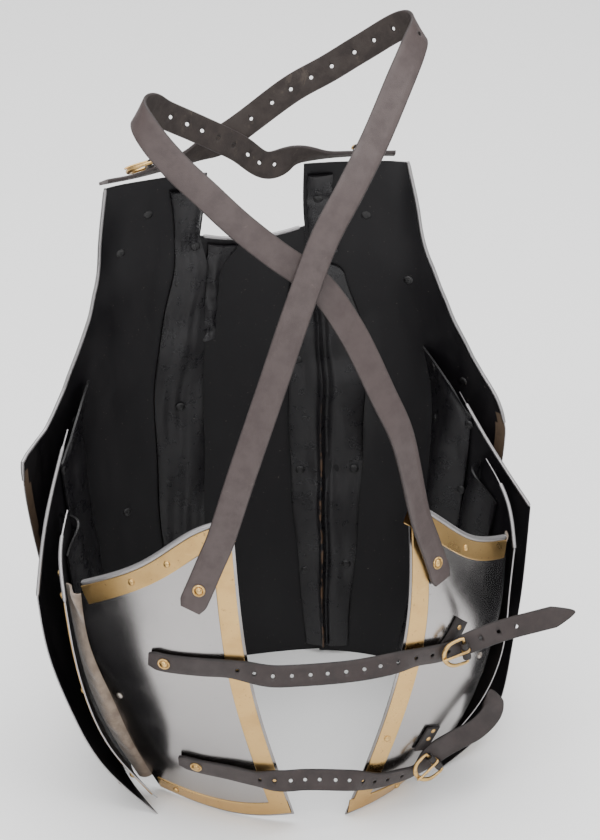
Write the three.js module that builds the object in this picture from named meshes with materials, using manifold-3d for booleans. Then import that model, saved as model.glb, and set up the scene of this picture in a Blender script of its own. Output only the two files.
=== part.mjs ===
// Steel breastplate: upright steel plates joined by leather, brass borders, crossed shoulder straps.
// +Y is the wearer's front, +X the wearer's right, +Z up; the lower edges stand at z = 0. Millimetres.
import * as THREE from "three";
import { mergeVertices } from "three/addons/utils/BufferGeometryUtils.js";
import Module from "manifold-3d";

const wasm = await Module();
wasm.setup();

// Driving sizes
const CUT = 0.3; // height that the standing edges are cut level at
const STEEL = 1.2; // plate thickness
const BRASS = 0.8; // border thickness
const GAP = 0.45; // clearance between pieces
const BAND = 18; // width of the brass borders
const HIDE = 2; // joining leather
const STRAP = 3; // strap leather
const CROSS_WIDTH = 25;
const BACK_WIDTH = 20;
const ROLL = 1.9; // radius of a rolled edge
const HEAD = 4; // rivet head radius
const WASHER = 6.3;
const LEFT = -1;
const RIGHT = 1;

const COLOURS = {
  steel: ["steel", 0xb4b2b2, 0.25, 1],
  brass: ["brass", 0xc9a468, 0.3, 1],
  leather: ["strap_leather", 0x5c5150, 0.6, 0],
  hide: ["joining_leather", 0x2a2729, 0.6, 0],
  suede: ["suede", 0x7a6c60, 0.9, 0],
};

// Front plates: a row for each height, columns from the middle out and back, x given for the right side.
const MIDDLE_ROWS = [
  [0, [[72, 132.3], [37, 135.6], [0, 136.6]]],
  [120, [[72, 143.3], [37, 146.8], [0, 148]]],
  [215, [[72, 148.2], [37, 151.8], [0, 153]]],
  [318, [[71, 149.2], [36, 152.6], [0, 154]]],
  [400, [[64, 144], [33, 147.2], [0, 148.5]]],
];
const NECK_ROW = [[56, 131.5, 489], [28, 136, 480], [0, 138, 477]];
const FLANK_ROWS = [
  [0, [[66, 130], [97, 120], [128, 103], [154, 76], [172, 40]]],
  [120, [[66, 141], [107, 131], [147, 112], [182, 80], [208, 38]]],
  [215, [[66, 146], [112, 137], [156, 117], [196, 83], [226, 38]]],
  [318, [[65, 147], [113, 138], [160, 118], [203, 84], [236, 38]]],
  [390, [[60, 143], [103, 135], [146, 119], [185, 90], [215, 52]]],
  [453, [[54, 135], [88, 130], [122, 120], [153, 106], [182, 80]]],
  [505, [[48, 127], [80, 123], [112, 116], [143, 104], [172, 80]]],
  [560, [[45, 111], [75, 109], [107, 104], [138, 96], [165, 78]]],
];
// How far back a flank plate reaches at each height share: rear edge, corner, arm opening, shoulder.
const ARM_LIMIT = {
  [LEFT]: [
    [0, 1], [0.14, 1], [0.286, 1], [0.428, 0.995], [0.444, 0.8], [0.476, 0.722], [0.51, 0.687],
    [0.571, 0.674], [0.64, 0.694], [0.714, 0.75], [0.857, 0.784], [1, 0.776],
  ],
  [RIGHT]: [
    [0, 0.97], [0.14, 0.97], [0.286, 0.965], [0.387, 0.955], [0.409, 0.934], [0.43, 0.905], [0.476, 0.822],
    [0.51, 0.79], [0.571, 0.776], [0.64, 0.812], [0.714, 0.85], [0.857, 0.824], [1, 0.765],
  ],
};

// Side, narrow and back plates: rows from the bottom up, columns from the front (or outer) edge.
const SIDE_ROWS = {
  [LEFT]: [
    [[-148, 72, 6], [-164, -12, 3], [-141, -100, 0]],
    [[-162, 76, 88], [-184, 0, 66], [-187, -82, 50]],
    [[-173, 78, 170], [-200, 8, 134], [-213, -68, 106]],
    [[-183, 76, 252], [-212, 12, 205], [-230, -53, 164]],
    [[-189, 68, 331], [-218, 12, 275], [-236, -40, 220]],
  ],
  [RIGHT]: [
    [[148, 72, 6], [163, -8, 3], [136, -90, 0]],
    [[162, 76, 88], [186, 8, 62], [197, -60, 30]],
    [[173, 78, 170], [204, 24, 130], [222, -32, 88]],
    [[183, 76, 250], [215, 34, 196], [236, -11, 140]],
    [[189, 68, 327], [216, 36, 276], [244, 0, 231]],
  ],
};
const NARROW_ROWS = {
  [LEFT]: [
    [[-148, 6, 12], [-156, -42, 11], [-139, -88, 10]],
    [[-166, 10, 84], [-180, -38, 76], [-178, -86, 68]],
    [[-180, 12, 150], [-196, -34, 138], [-199, -81, 124]],
    [[-191, 10, 214], [-207, -32, 198], [-209, -76, 178]],
    [[-200, 2, 284], [-212, -32, 260], [-214, -70, 231]],
  ],
  [RIGHT]: [
    [[148, 16, 12], [155, -30, 11], [138, -74, 10]],
    [[166, 20, 84], [179, -25, 72], [180, -70, 58]],
    [[180, 22, 150], [195, -22, 134], [202, -66, 114]],
    [[191, 20, 214], [206, -20, 194], [207, -63, 168]],
    [[202, 14, 282], [213, -24, 256], [211, -60, 225]],
  ],
};
const BACK_ROWS = {
  [LEFT]: [
    [[-132, -62, 3], [-105, -87, 1], [-74, -111, 1], [-45, -127, 4], [-17, -138, 10]],
    [[-157, -73, 66], [-132, -101, 71], [-104, -124, 78], [-73, -140, 86], [-40, -148, 95]],
    [[-177, -79, 130], [-152, -110, 139], [-123, -134, 151], [-92, -150, 165], [-59, -156, 180]],
    [[-195, -82, 193], [-169, -112, 203], [-139, -135, 219], [-105, -151, 240], [-69, -157, 263]],
    [[-200, -78, 256], [-176, -99, 274], [-143, -119, 299], [-107, -136, 333], [-73, -148, 348]],
  ],
  [RIGHT]: [
    [[99, -98, 0], [84, -110, 0], [67, -121, 0], [50, -130, 0], [32, -138, 1]],
    [[148, -94, 50], [130, -113, 55], [109, -129, 62], [84, -141, 70], [54, -146, 78]],
    [[179, -85, 115], [159, -112, 123], [134, -134, 134], [106, -148, 147], [74, -152, 162]],
    [[195, -77, 181], [174, -108, 190], [147, -132, 206], [116, -148, 228], [84, -155, 250]],
    [[199, -70, 247], [176, -87, 258], [150, -104, 276], [119, -122, 309], [85, -142, 345]],
  ],
};

// Second derivatives of a natural cubic spline through evenly spaced values, for a unit value at each.
const bendTables = new Map();
function bendTable(count) {
  if (bendTables.has(count)) return bendTables.get(count);
  const rows = Array.from({ length: count }, (_, i) => {
    const inner = i > 0 && i < count - 1;
    const left = Array.from({ length: count }, (_, j) => {
      if (!inner) return i === j ? 1 : 0;
      return { 0: 4, 1: 1 }[Math.abs(i - j)] ?? 0;
    });
    const right = Array.from({ length: count }, (_, j) => (inner ? ({ 0: -12, 1: 6 }[Math.abs(i - j)] ?? 0) : 0));
    return [...left, ...right];
  });
  for (let i = 0; i < count; i++) {
    const pivot = rows[i][i];
    rows[i] = rows[i].map((v) => v / pivot);
    rows.forEach((row, k) => {
      if (k !== i) rows[k] = row.map((v, j) => v - rows[i][j] * row[i]);
    });
  }
  const table = rows.map((row) => row.slice(count));
  bendTables.set(count, table);
  return table;
}

// What each of the evenly spaced values counts for at the place u (0 to 1).
function weights(count, u) {
  const table = bendTable(count);
  const place = u * (count - 1);
  const i = Math.min(count - 2, Math.max(0, Math.floor(place)));
  const f = place - i;
  const g = 1 - f;
  return Array.from({ length: count }, (_, j) => {
    const straight = (j === i ? g : 0) + (j === i + 1 ? f : 0);
    return straight + ((g ** 3 - g) * table[i][j] + (f ** 3 - f) * table[i + 1][j]) / 6;
  });
}

// Smooth surface through rows of points; normals point out of the body.
function surface(rows, side) {
  const at = (s, t) => {
    const across = weights(rows[0].length, s);
    const up = weights(rows.length, t);
    const p = [0, 1, 2].map((k) =>
      rows.reduce((sum, row, i) => sum + row.reduce((a, q, j) => a + up[i] * across[j] * q[k], 0), 0));
    return new THREE.Vector3(...p);
  };
  const normal = (s, t) => {
    const ds = at(s + 1e-3, t).sub(at(s - 1e-3, t));
    const dt = at(s, t + 1e-3).sub(at(s, t - 1e-3));
    return ds.cross(dt).normalize().multiplyScalar(-side);
  };
  const lift = (s, t, height) => at(s, t).addScaledVector(normal(s, t), height);
  return { at, normal, lift };
}

// Value at u of a polyline table of [u, value].
function lookUp(table, u) {
  const i = Math.min(table.length - 2, Math.max(0, table.findIndex((row) => row[0] >= u) - 1));
  const [u0, v0] = table[i];
  const [u1, v1] = table[i + 1];
  return v0 + ((v1 - v0) * (u - u0)) / (u1 - u0);
}

const steps = (count, from = 0, to = 1) =>
  Array.from({ length: count + 1 }, (_, i) => from + ((to - from) * i) / count);

function geometryOf(points, faces) {
  const g = new THREE.BufferGeometry();
  g.setAttribute("position", new THREE.Float32BufferAttribute(points.flatMap((p) => [p.x, p.y, p.z]), 3));
  g.setIndex(faces.flat());
  return g;
}

// A three.js geometry as a closed solid that faces out.
function solid(geometry) {
  const g = geometry.clone();
  g.deleteAttribute("normal");
  g.deleteAttribute("uv");
  const merged = mergeVertices(g, 1e-4);
  const build = (triVerts) =>
    new wasm.Manifold(new wasm.Mesh({ numProp: 3, vertProperties: merged.attributes.position.array, triVerts }));
  const index = new Uint32Array(merged.index.array);
  const made = build(index);
  return made.volume() > 0 ? made : build(index.reverse());
}

// A wall that follows a surface. place(i, j) gives s and t of the grid lines; cells not kept stay open.
function wall(surf, [across, up], place, low, high, keep = () => true) {
  const corner = (i, j) => i * (up + 1) + j;
  const size = (across + 1) * (up + 1);
  const points = [low, high].flatMap((height) =>
    steps(across).flatMap((_, i) => steps(up).map((_, j) => surf.lift(...place(i, j), height))));
  const kept = (i, j) => i >= 0 && j >= 0 && i < across && j < up && keep(i, j);
  const faces = [];
  const quad = (a, b, c, d) => faces.push([a, b, c], [a, c, d]);
  const side = (a, b) => quad(a, b, b + size, a + size);
  for (let i = 0; i < across; i++)
    for (let j = 0; j < up; j++) {
      if (!kept(i, j)) continue;
      const [a, b, c, d] = [corner(i, j), corner(i + 1, j), corner(i + 1, j + 1), corner(i, j + 1)];
      quad(a, d, c, b);
      quad(a + size, b + size, c + size, d + size);
      if (!kept(i, j - 1)) side(a, b);
      if (!kept(i + 1, j)) side(b, c);
      if (!kept(i, j + 1)) side(c, d);
      if (!kept(i - 1, j)) side(d, a);
    }
  return solid(geometryOf(points, faces));
}

// Sweeps a closed section along points. frames give the section's two directions at each point.
function sweep(points, frames, section, closed = false) {
  const ring = section.length;
  const all = points.flatMap((p, k) =>
    section.map(([a, b]) => p.clone().addScaledVector(frames[k][0], a).addScaledVector(frames[k][1], b)));
  const faces = [];
  const last = closed ? points.length : points.length - 1;
  for (let k = 0; k < last; k++)
    for (let i = 0; i < ring; i++) {
      const [a, b] = [k * ring + i, k * ring + ((i + 1) % ring)];
      const next = ((k + 1) % points.length) * ring;
      faces.push([a, b, next + ((i + 1) % ring)], [a, next + ((i + 1) % ring), next + i]);
    }
  const end = (points.length - 1) * ring;
  if (!closed) for (let i = 1; i < ring - 1; i++) faces.push([0, i + 1, i], [end, end + i, end + i + 1]);
  return solid(geometryOf(all, faces));
}

const circle = (radius, sides) =>
  steps(sides - 1, 0, 2 * Math.PI * (1 - 1 / sides)).map((a) => [radius * Math.cos(a), radius * Math.sin(a)]);

// Directions across a path that turn as little as they can.
function frames(points, closed = false) {
  const n = points.length;
  let across = new THREE.Vector3(0.31, 0.42, 0.85);
  return points.map((p, k) => {
    const before = closed ? points[(k + n - 1) % n] : points[Math.max(0, k - 1)];
    const after = closed ? points[(k + 1) % n] : points[Math.min(n - 1, k + 1)];
    const along = after.clone().sub(before).normalize();
    across = across.clone().addScaledVector(along, -across.dot(along)).normalize();
    return [across, along.clone().cross(across).normalize()];
  });
}

const rod = (points, radius, sides = 6, closed = false) =>
  sweep(points, frames(points, closed), circle(radius, sides), closed);

// Places a solid made about +Z on a spot, with its axis along a direction.
function stand(made, spot, axis) {
  const turn = new THREE.Quaternion().setFromUnitVectors(new THREE.Vector3(0, 0, 1), axis);
  return made.transform(new THREE.Matrix4().compose(spot, turn, new THREE.Vector3(1, 1, 1)).elements);
}

// Turned piece from its half section [radius, height].
const turned = (profile, sides) => {
  const g = new THREE.LatheGeometry(profile.map(([r, h]) => new THREE.Vector2(r, h)), sides);
  return solid(g.rotateX(Math.PI / 2));
};
const domedHead = (radius, rise, base = 0) => [
  [0, base], [radius, base], [radius * 0.75, base + rise * 0.75], [0, base + rise],
];
const rivetHead = () => turned(domedHead(HEAD, 3.1), 8);
const washeredHead = () => turned([
  [0, 0], [WASHER, 0], [WASHER, 0.9], [HEAD, 1.3], [HEAD * 0.75, 3.2], [0, 4.1],
], 12);

// Named meshes
const breastplate = new THREE.Group();
const solids = {};
function add(name, made, [material, color, roughness, metalness]) {
  const { vertProperties, triVerts, numProp } = made.getMesh();
  const points = [];
  for (let i = 0; i < vertProperties.length; i += numProp)
    points.push(new THREE.Vector3(vertProperties[i], vertProperties[i + 1], vertProperties[i + 2]));
  const g = geometryOf(points, [Array.from(triVerts)]);
  g.computeVertexNormals();
  const mesh = new THREE.Mesh(g, new THREE.MeshStandardMaterial({ name: material, color, roughness, metalness }));
  mesh.name = name;
  breastplate.add(mesh);
  solids[name] = made;
}
const sideName = (side) => (side === LEFT ? "left" : "right");
const both = (make) => [LEFT, RIGHT].forEach(make);

const brassLow = STEEL / 2 + GAP;
const brassHigh = brassLow + BRASS;

// Rolled edge: a rod along the edge of a surface, joined to the plate.
const rolled = (surf, places, radius = ROLL, lift = 0) =>
  rod(places.map(([s, t]) => surf.lift(s, t, lift)), radius, 6);

// --- Surfaces ---
const middleRow = (points) => [
  ...points.map(([x, y, z]) => [-x, y, z]),
  ...points.slice(0, -1).reverse(),
];
const middle = surface([
  ...MIDDLE_ROWS.map(([z, points]) => middleRow(points.map(([x, y]) => [x, y, z]))),
  middleRow(NECK_ROW),
], RIGHT);
const flank = {};
const sidePlate = {};
const narrow = {};
const back = {};
both((side) => {
  flank[side] = surface(FLANK_ROWS.map(([z, points]) => points.map(([x, y]) => [side * x, y, z])), side);
  sidePlate[side] = surface(SIDE_ROWS[side], side);
  narrow[side] = surface(NARROW_ROWS[side], side);
  back[side] = surface(BACK_ROWS[side], side);
});

// --- Plates ---
function limitOf(side) {
  return (t) => lookUp(ARM_LIMIT[side], Math.min(1, Math.max(0, t)));
}
const plate = (surf, across, up, limit = () => 1, heights = steps(up)) =>
  wall(surf, [across, up], (i, j) => [(i / across) * limit(heights[j]), heights[j]], -STEEL / 2, STEEL / 2);

const level = (made) => made.trimByPlane([0, 0, 1], CUT);

const edgeAlong = (s, t0, t1, count) => steps(count, t0, t1).map((t) => [s, t]);
const edgeAcross = (t, s0, s1, count) => steps(count, s0, s1).map((s) => [s, t]);

// Shares of the height that a flank plate's grid lines run at, close together round its rear corner.
const armHeights = (side) =>
  ARM_LIMIT[side].map((row) => row[0]).flatMap((t, i, all) => {
    if (!i) return [t];
    return t - all[i - 1] > 0.06 ? [(t + all[i - 1]) / 2, t] : [t];
  });

const neckRoll = rolled(middle, edgeAcross(1, 0.09, 0.91, 10));
add("central_plate", level(plate(middle, 8, 8).add(neckRoll)), COLOURS.steel);
both((side) => {
  const limit = limitOf(side);
  const heights = armHeights(side);
  const arm = heights.filter((t) => t > 0.38).map((t) => [limit(t), t]);
  const body = plate(flank[side], 7, heights.length - 1, limit, heights).add(rolled(flank[side], arm));
  add(`flank_plate_${sideName(side)}`, level(body), COLOURS.steel);
  const make = (name, surf, across, up, from, radius) => {
    const roll = rolled(surf, edgeAcross(1, from, 0.99, 7), radius);
    add(`${name}_${sideName(side)}`, level(plate(surf, across, up).add(roll)), COLOURS.steel);
  };
  make("side_plate", sidePlate[side], 8, 12, 0.1, ROLL);
  make("narrow_plate", narrow[side], 4, 8, 0.3, ROLL);
  make("back_plate", back[side], 8, 8, 0.02, 2.1);
});

// --- Brass borders ---
// Lines that cross a band beside a path of [s, t]: each gives the place at a distance from the path.
function bandLines(surf, path, inside) {
  const last = path.length - 1;
  return path.map(([s, t], k) => {
    const ds = surf.at(s + 1e-3, t).sub(surf.at(s - 1e-3, t)).divideScalar(2e-3);
    const dt = surf.at(s, t + 1e-3).sub(surf.at(s, t - 1e-3)).divideScalar(2e-3);
    const up = ds.clone().cross(dt).normalize();
    const inward = ([s0, t0], [s1, t1]) =>
      up.clone().cross(ds.clone().multiplyScalar(s1 - s0).addScaledVector(dt, t1 - t0).normalize());
    const one = inward(path[Math.max(0, k - 1)], path[Math.max(1, k)]);
    const two = inward(path[Math.min(last - 1, k)], path[Math.min(last, k + 1)]);
    const miter = one.clone().add(two).divideScalar(1 + Math.max(-0.3, one.dot(two))).multiplyScalar(inside);
    const [a, b, c] = [ds.dot(ds), ds.dot(dt), dt.dot(dt)];
    const [p, q] = [miter.dot(ds), miter.dot(dt)];
    const step = [(p * c - q * b) / (a * c - b * b), (q * a - p * b) / (a * c - b * b)];
    return (far) => [s + step[0] * far, t + step[1] * far];
  });
}

// Brass border beside a path, with rivets on its middle line at shares of the path.
function border(surf, path, inset, width, studs, across = 1, lift = 0) {
  const lines = bandLines(surf, path, -1);
  const place = (i, j) => lines[i](inset + (width * j) / across);
  const strip = wall(surf, [lines.length - 1, across], place, brassLow + lift, brassHigh + lift);
  return studs.reduce((made, share) => {
    const at = share * (lines.length - 1);
    const i = Math.min(lines.length - 2, Math.floor(at));
    const [one, two] = [lines[i](inset + width / 2), lines[i + 1](inset + width / 2)];
    const [s, t] = one.map((v, k) => v + (two[k] - v) * (at - i));
    return made.add(stand(rivetHead(), surf.lift(s, t, brassLow + lift + 0.05), surf.normal(s, t)));
  }, strip);
}

const centralPath = [
  ...edgeAlong(0, 0, 1, 8), ...edgeAcross(1, 0, 1, 8).slice(1), ...edgeAlong(1, 1, 0, 8).slice(1),
  ...edgeAcross(0, 1, 0.14, 5).slice(1),
];
const CENTRAL_STUDS = [0.04, 0.16, 0.24, 0.6, 0.7, 0.8];
const centralBorder = border(middle, centralPath, 3, 14, CENTRAL_STUDS).trimByPlane([0, 0, 1], CUT + 0.3);
add("central_trim", centralBorder, COLOURS.brass);

const STUDS = {
  flank: [0.04, 0.16, 0.45, 0.74, 0.92],
  side: [0.1, 0.45, 0.7, 0.95],
  narrow: [0.25, 0.42, 0.8],
  back: { [LEFT]: [0.11, 0.2, 0.71, 0.95], [RIGHT]: [0.12, 0.72, 0.93] },
};
both((side) => {
  const name = sideName(side);
  const limit = limitOf(side);
  const arm = armHeights(side).map((t) => [limit(t), t]).reverse();
  const flankPath = [
    ...edgeAcross(1, 0.02, limit(1), 5).slice(0, -1), ...arm, ...edgeAcross(0, limit(0), 0.05, 7).slice(1),
  ];
  add(`flank_trim_${name}`, border(flank[side], flankPath, 3, BAND - 4, STUDS.flank, 1, 0.3), COLOURS.brass);
  const sidePath = [
    ...edgeAcross(1, 1 / 8, 1, 7).slice(0, -1), ...edgeAlong(1, 1, 1 / 12, 11),
  ];
  add(`side_trim_${name}`, border(sidePlate[side], sidePath, 3, 10, STUDS.side, 1, 0.9), COLOURS.brass);
  const narrowPath = [...edgeAcross(1, 0.5, 1, 2).slice(0, -1), ...edgeAlong(1, 1, 0, 8)];
  add(`narrow_trim_${name}`, border(narrow[side], narrowPath, 2.6, 9, STUDS.narrow, 1, 1.1), COLOURS.brass);
  const backPath = [
    ...edgeAcross(1, 0, 1, 8).slice(0, -1), ...edgeAlong(1, 1, 0, 8), ...edgeAcross(0, 1, 0, 8).slice(1),
  ];
  add(`back_trim_${name}`, border(back[side], backPath, 2.6, BAND - 1, STUDS.back[side], 2, 0.25), COLOURS.brass);
});

// --- Straps ---
// Seen from behind and above, as the straps mostly face: right, up, and towards the looker.
const VIEW = [new THREE.Vector3(0.978, -0.208, 0), new THREE.Vector3(0.104, 0.489, 0.866), new THREE.Vector3(-0.18, -0.847, 0.5)];
const OVER = brassHigh + 0.3 + GAP + STRAP / 2;

// Route of a strap: places on a plate, free points [x, y, z, turn] and points [x, y, z, ...face].
// turn is how far the outer face has turned from the looker (0) over the fold (90) to behind (180).
function strapRoute(parts, foldTo) {
  const fold = VIEW[0].clone().multiplyScalar(Math.cos(foldTo)).addScaledVector(VIEW[1], Math.sin(foldTo));
  return parts.flatMap(({ surf, places, lift = OVER, free, aimed }) => {
    if (aimed)
      return aimed.map(([x, y, z, ...face]) => ({
        spot: new THREE.Vector3(x, y, z), face: new THREE.Vector3(...face).normalize(),
      }));
    if (free)
      return free.map(([x, y, z, turn = 0]) => {
        const a = THREE.MathUtils.degToRad(turn);
        const face = VIEW[2].clone().multiplyScalar(Math.cos(a)).addScaledVector(fold, Math.sin(a));
        return { spot: new THREE.Vector3(x, y, z), face };
      });
    return places.map(([s, t, more = 0]) => ({ spot: surf.lift(s, t, lift + more), face: surf.normal(s, t) }));
  });
}

// Stations along a route, evenly spaced: spot, direction along, across and out of the strap's face.
function stations(route, count) {
  const line = new THREE.CatmullRomCurve3(route.map((r) => r.spot), false, "centripetal");
  const faces = new THREE.CatmullRomCurve3(route.map((r) => r.face), false, "centripetal");
  line.arcLengthDivisions = 400;
  return steps(count).map((share) => {
    const u = line.getUtoTmapping(share);
    const along = line.getTangent(u);
    const face = faces.getPoint(u);
    face.addScaledVector(along, -face.dot(along)).normalize();
    return { spot: line.getPoint(u), along, face, across: along.clone().cross(face).normalize() };
  });
}

// Flat strap through its stations; taper gives the share of the width near the ends.
function strap(path, width, taper = () => 1) {
  const section = [[-0.5, -0.5], [0.5, -0.5], [0.5, 0.5], [-0.5, 0.5]];
  const axes = path.map(({ across, face }, k) => [
    across.clone().multiplyScalar(width * taper(k / (path.length - 1))), face.clone().multiplyScalar(STRAP),
  ]);
  return sweep(path.map((p) => p.spot), axes, section);
}
const punched = (made, path, first, last, count) => {
  const holes = steps(count - 1, first, last).map((share) => {
    const { spot, face } = path[Math.round(share * (path.length - 1))];
    const bit = solid(new THREE.CylinderGeometry(1.8, 1.8, 12, 6).rotateX(Math.PI / 2));
    return stand(bit, spot, face);
  });
  return holes.reduce((left, bit) => left.subtract(bit), made);
};

const CROSS = {
  [LEFT]: {
    start: { surf: back[LEFT], places: [[0.72, 0.823], [0.779, 0.861], [0.859, 0.916], [0.915, 0.955, 1]] },
    free: [
      [-67, -154, 392], [-35, -145, 481], [-12, -132, 538], [15, -112, 592], [42, -90, 625], [70, -60, 655],
      [98, -26, 689, 10], [117, 0, 710, 45], [127, 20, 720, 90], [120, 42, 716, 140], [87, 62, 689, 170],
      [58, 73, 667, 175], [29, 82, 648, 175], [-28, 98, 600, 172],
    ],
    end: { aimed: [
      [-58, 104, 585, 0, 0.8, 0.6], [-86, 107, 575, 0, 0.6, 0.8], [-114, 105, 570, 0, 0.5, 0.86], [-142, 98, 570, 0, 0.5, 0.86],
    ] },
    foldTo: 0.66, holes: [0.615, 0.86, 11],
  },
  [RIGHT]: {
    start: { surf: back[RIGHT], places: [[0.77, 0.835], [0.815, 0.877], [0.883, 0.922, 1.5], [0.955, 0.965, 3.5]] },
    free: [
      [75, -150, 418, -55], [61, -144, 452, -38], [34, -130, 514, -18], [9, -116, 552], [-24, -103, 577], [-54, -90, 602],
      [-79, -72, 625], [-97, -54, 640, 15], [-117, -28, 662, 45], [-123, -6, 675, 90], [-109, 12, 671, 140],
      [-97, 25, 658, 165], [-63, 48, 631, 175], [-26, 66, 603, 175], [8, 90, 571, 170],
    ],
    end: { aimed: [
      [36, 102, 575, 0, 0.85, 0.3], [62, 111, 571, 0, 0.6, 0.8], [92, 113, 570, 0, 0.5, 0.86], [130, 106, 570, 0, 0.5, 0.86],
    ] },
    foldTo: 2.5, holes: [0.69, 0.86, 8],
  },
};
const crossPaths = {};
both((side) => {
  const { start, free, end, foldTo, holes } = CROSS[side];
  const path = stations(strapRoute([start, { free }, end], foldTo), 48);
  crossPaths[side] = path;
  const made = punched(strap(path, CROSS_WIDTH), path, ...holes);
  add(`cross_strap_${sideName(side)}`, made, COLOURS.leather);
});

const BACK_STRAPS = {
  upper: {
    start: { surf: back[LEFT], places: [[0.43, 0.716], [0.519, 0.69], [0.716, 0.642], [0.9, 0.588, 1]] },
    free: [[-45, -167, 193], [-26, -168, 191], [28, -168, 188], [62, -164, 187]],
    end: { surf: back[RIGHT], lift: OVER + 2, places: [[0.9, 0.597], [0.78, 0.62], [0.668, 0.64]] },
    tail: [[150, -151, 193], [172, -153, 201], [205, -165, 216], [234, -175, 228]],
    holes: [0.2, 0.86, 17],
  },
  lower: {
    start: { surf: back[LEFT], places: [[0.37, 0.25], [0.482, 0.233], [0.688, 0.21, 1], [0.85, 0.178, 2.5]] },
    free: [[-32, -155, 64], [-10, -155, 62], [31, -157, 56]],
    end: { surf: back[RIGHT], lift: OVER + 3.5, places: [[0.88, 0.155], [0.72, 0.165, 0.5], [0.55, 0.185, 2.5]] },
    tail: [[121, -134, 58], [140, -131, 66], [164, -122, 70], [183, -106, 78], [184, -92, 90]],
    holes: [0.22, 0.66, 12],
  },
};
const backPaths = {};
for (const [name, { start, free, end, tail, holes }] of Object.entries(BACK_STRAPS)) {
  const path = stations(strapRoute([start, { free }, end, { free: tail }], 0), 40);
  backPaths[name] = path;
  const point = (u) => (name === "upper" ? Math.min(1, 0.12 + (1 - u) * 22) : 1);
  add(`back_strap_${name}`, punched(strap(path, BACK_WIDTH, point), path, ...holes), COLOURS.leather);
}

// --- Rivets that hold the straps ---
const HELD = {
  cross_strap_left: [back[LEFT], 0.779, 0.861, OVER], cross_strap_right: [back[RIGHT], 0.815, 0.877, OVER],
  back_strap_upper: [back[LEFT], 0.519, 0.69, OVER], back_strap_lower: [back[LEFT], 0.482, 0.233, OVER],
};
for (const [name, [surf, s, t, lift]] of Object.entries(HELD)) {
  const spot = surf.lift(s, t, lift + STRAP / 2 + GAP + 0.3);
  add(`rivet_${name}`, stand(washeredHead(), spot, surf.normal(s, t)), COLOURS.brass);
}
const PLATE_RIVETS = { left: [back[LEFT], 0.08, 0.512], right: [back[RIGHT], 0.264, 0.589] };
for (const [name, [surf, s, t]] of Object.entries(PLATE_RIVETS))
  add(`rivet_back_plate_${name}`, stand(rivetHead(), surf.lift(s, t, STEEL / 2 + GAP), surf.normal(s, t)), COLOURS.brass);

// --- Buckles: frame, tongue and leather tab under the strap ---
// A D with its straight bar across the strap at the back and its round end forward.
function buckleFrame({ spot, along, across, face }, width, radius, lift) {
  const half = width / 2 + 3.2;
  const outline = [
    [-7, -half], [-7, -half / 2], [-7, 0], [-7, half / 2], [-7, half],
    ...steps(8, Math.PI / 2, -Math.PI / 2).map((a) => [2 + 12 * Math.cos(a), half * Math.sin(a)]),
  ];
  const centre = spot.clone().addScaledVector(face, lift);
  const points = outline.map(([a, b]) => centre.clone().addScaledVector(along, a).addScaledVector(across, b));
  return rod(points, radius, 6, true);
}
function buckleTongue({ spot, along, face }, lift) {
  const line = [[-10.8, 0.4], [-9.8, 2.8], [-7, 3.7], [2, 3.9], [12, 3.9], [16, 3.7]];
  return rod(line.map(([a, h]) => spot.clone().addScaledVector(along, a).addScaledVector(face, lift + h)), 1.3, 6);
}
const BUCKLES = {
  cross_left: { path: crossPaths[LEFT], at: 0.955, width: CROSS_WIDTH, over: 2 },
  cross_right: { path: crossPaths[RIGHT], at: 0.965, width: CROSS_WIDTH },
  back_upper: { path: backPaths.upper, at: 0.715, width: BACK_WIDTH, over: 3.6 },
  back_lower: { path: backPaths.lower, at: 0.7, width: BACK_WIDTH, over: 4.6 },
};
for (const [name, { path, at, width, over = 0 }] of Object.entries(BUCKLES)) {
  const place = path[Math.round(at * (path.length - 1))];
  const turnedRound = { ...place, along: place.along.clone().multiplyScalar(name.startsWith("back") ? -1 : 1) };
  const rise = STRAP / 2 + GAP + 1.8 + over;
  add(`buckle_${name}`, buckleFrame(turnedRound, width, 1.8, rise), COLOURS.brass);
  add(`tongue_${name}`, buckleTongue(turnedRound, rise), COLOURS.brass);
}
// Tabs that hold the back buckles, from under the strap up over the right back plate.
const TABS = { upper: [[0.7, 0.63], [0.66, 0.66], [0.58, 0.74]], lower: [[0.56, 0.28], [0.555, 0.305], [0.55, 0.335]] };
for (const [name, path] of Object.entries(TABS)) {
  const lines = bandLines(back[RIGHT], path, -1);
  const low = STEEL / 2 + GAP;
  const made = wall(back[RIGHT], [2, 1], (i, j) => lines[i](14 * j - 7), low, low + 1.4);
  add(`tab_${name}`, made, COLOURS.leather);
}

// --- Joining leather inside ---
const LINING = -(STEEL / 2 + GAP);
// Strip on a surface between two limits in s, each a table of [t, s].
function lining(name, surf, t0, t1, rows, low, high) {
  const count = 8;
  const place = (i, j) => {
    const t = t0 + ((t1 - t0) * j) / count;
    return [lookUp(low, t) + ((lookUp(high, t) - lookUp(low, t)) * i) / rows, t];
  };
  add(name, wall(surf, [rows, count], place, LINING - HIDE, LINING), COLOURS.hide);
}
lining("joint_strip_front_left", flank[LEFT], 0.03, 0.96, 3,
  [[0, -0.1], [0.7, -0.08], [0.85, 0.02], [1, 0.03]], [[0, 0.16], [0.7, 0.16], [1, 0.3]]);
lining("joint_strip_front_right", flank[RIGHT], 0.01, 0.7, 4,
  [[0, -0.1], [0.3, -0.14], [0.55, -0.14], [0.66, -0.06], [0.7, 0.0]], [[0, 0.22], [0.55, 0.25], [0.66, 0.2], [0.7, 0.14]]);
lining("shoulder_strip_right", flank[RIGHT], 0.73, 0.97, 2, [[0, 0.03], [1, 0.03]], [[0, 0.2], [1, 0.22]]);
lining("neck_strip", middle, 0.82, 0.975, 2, [[0, 0.17], [1, 0.17]], [[0, 0.32], [1, 0.36]]);

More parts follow.
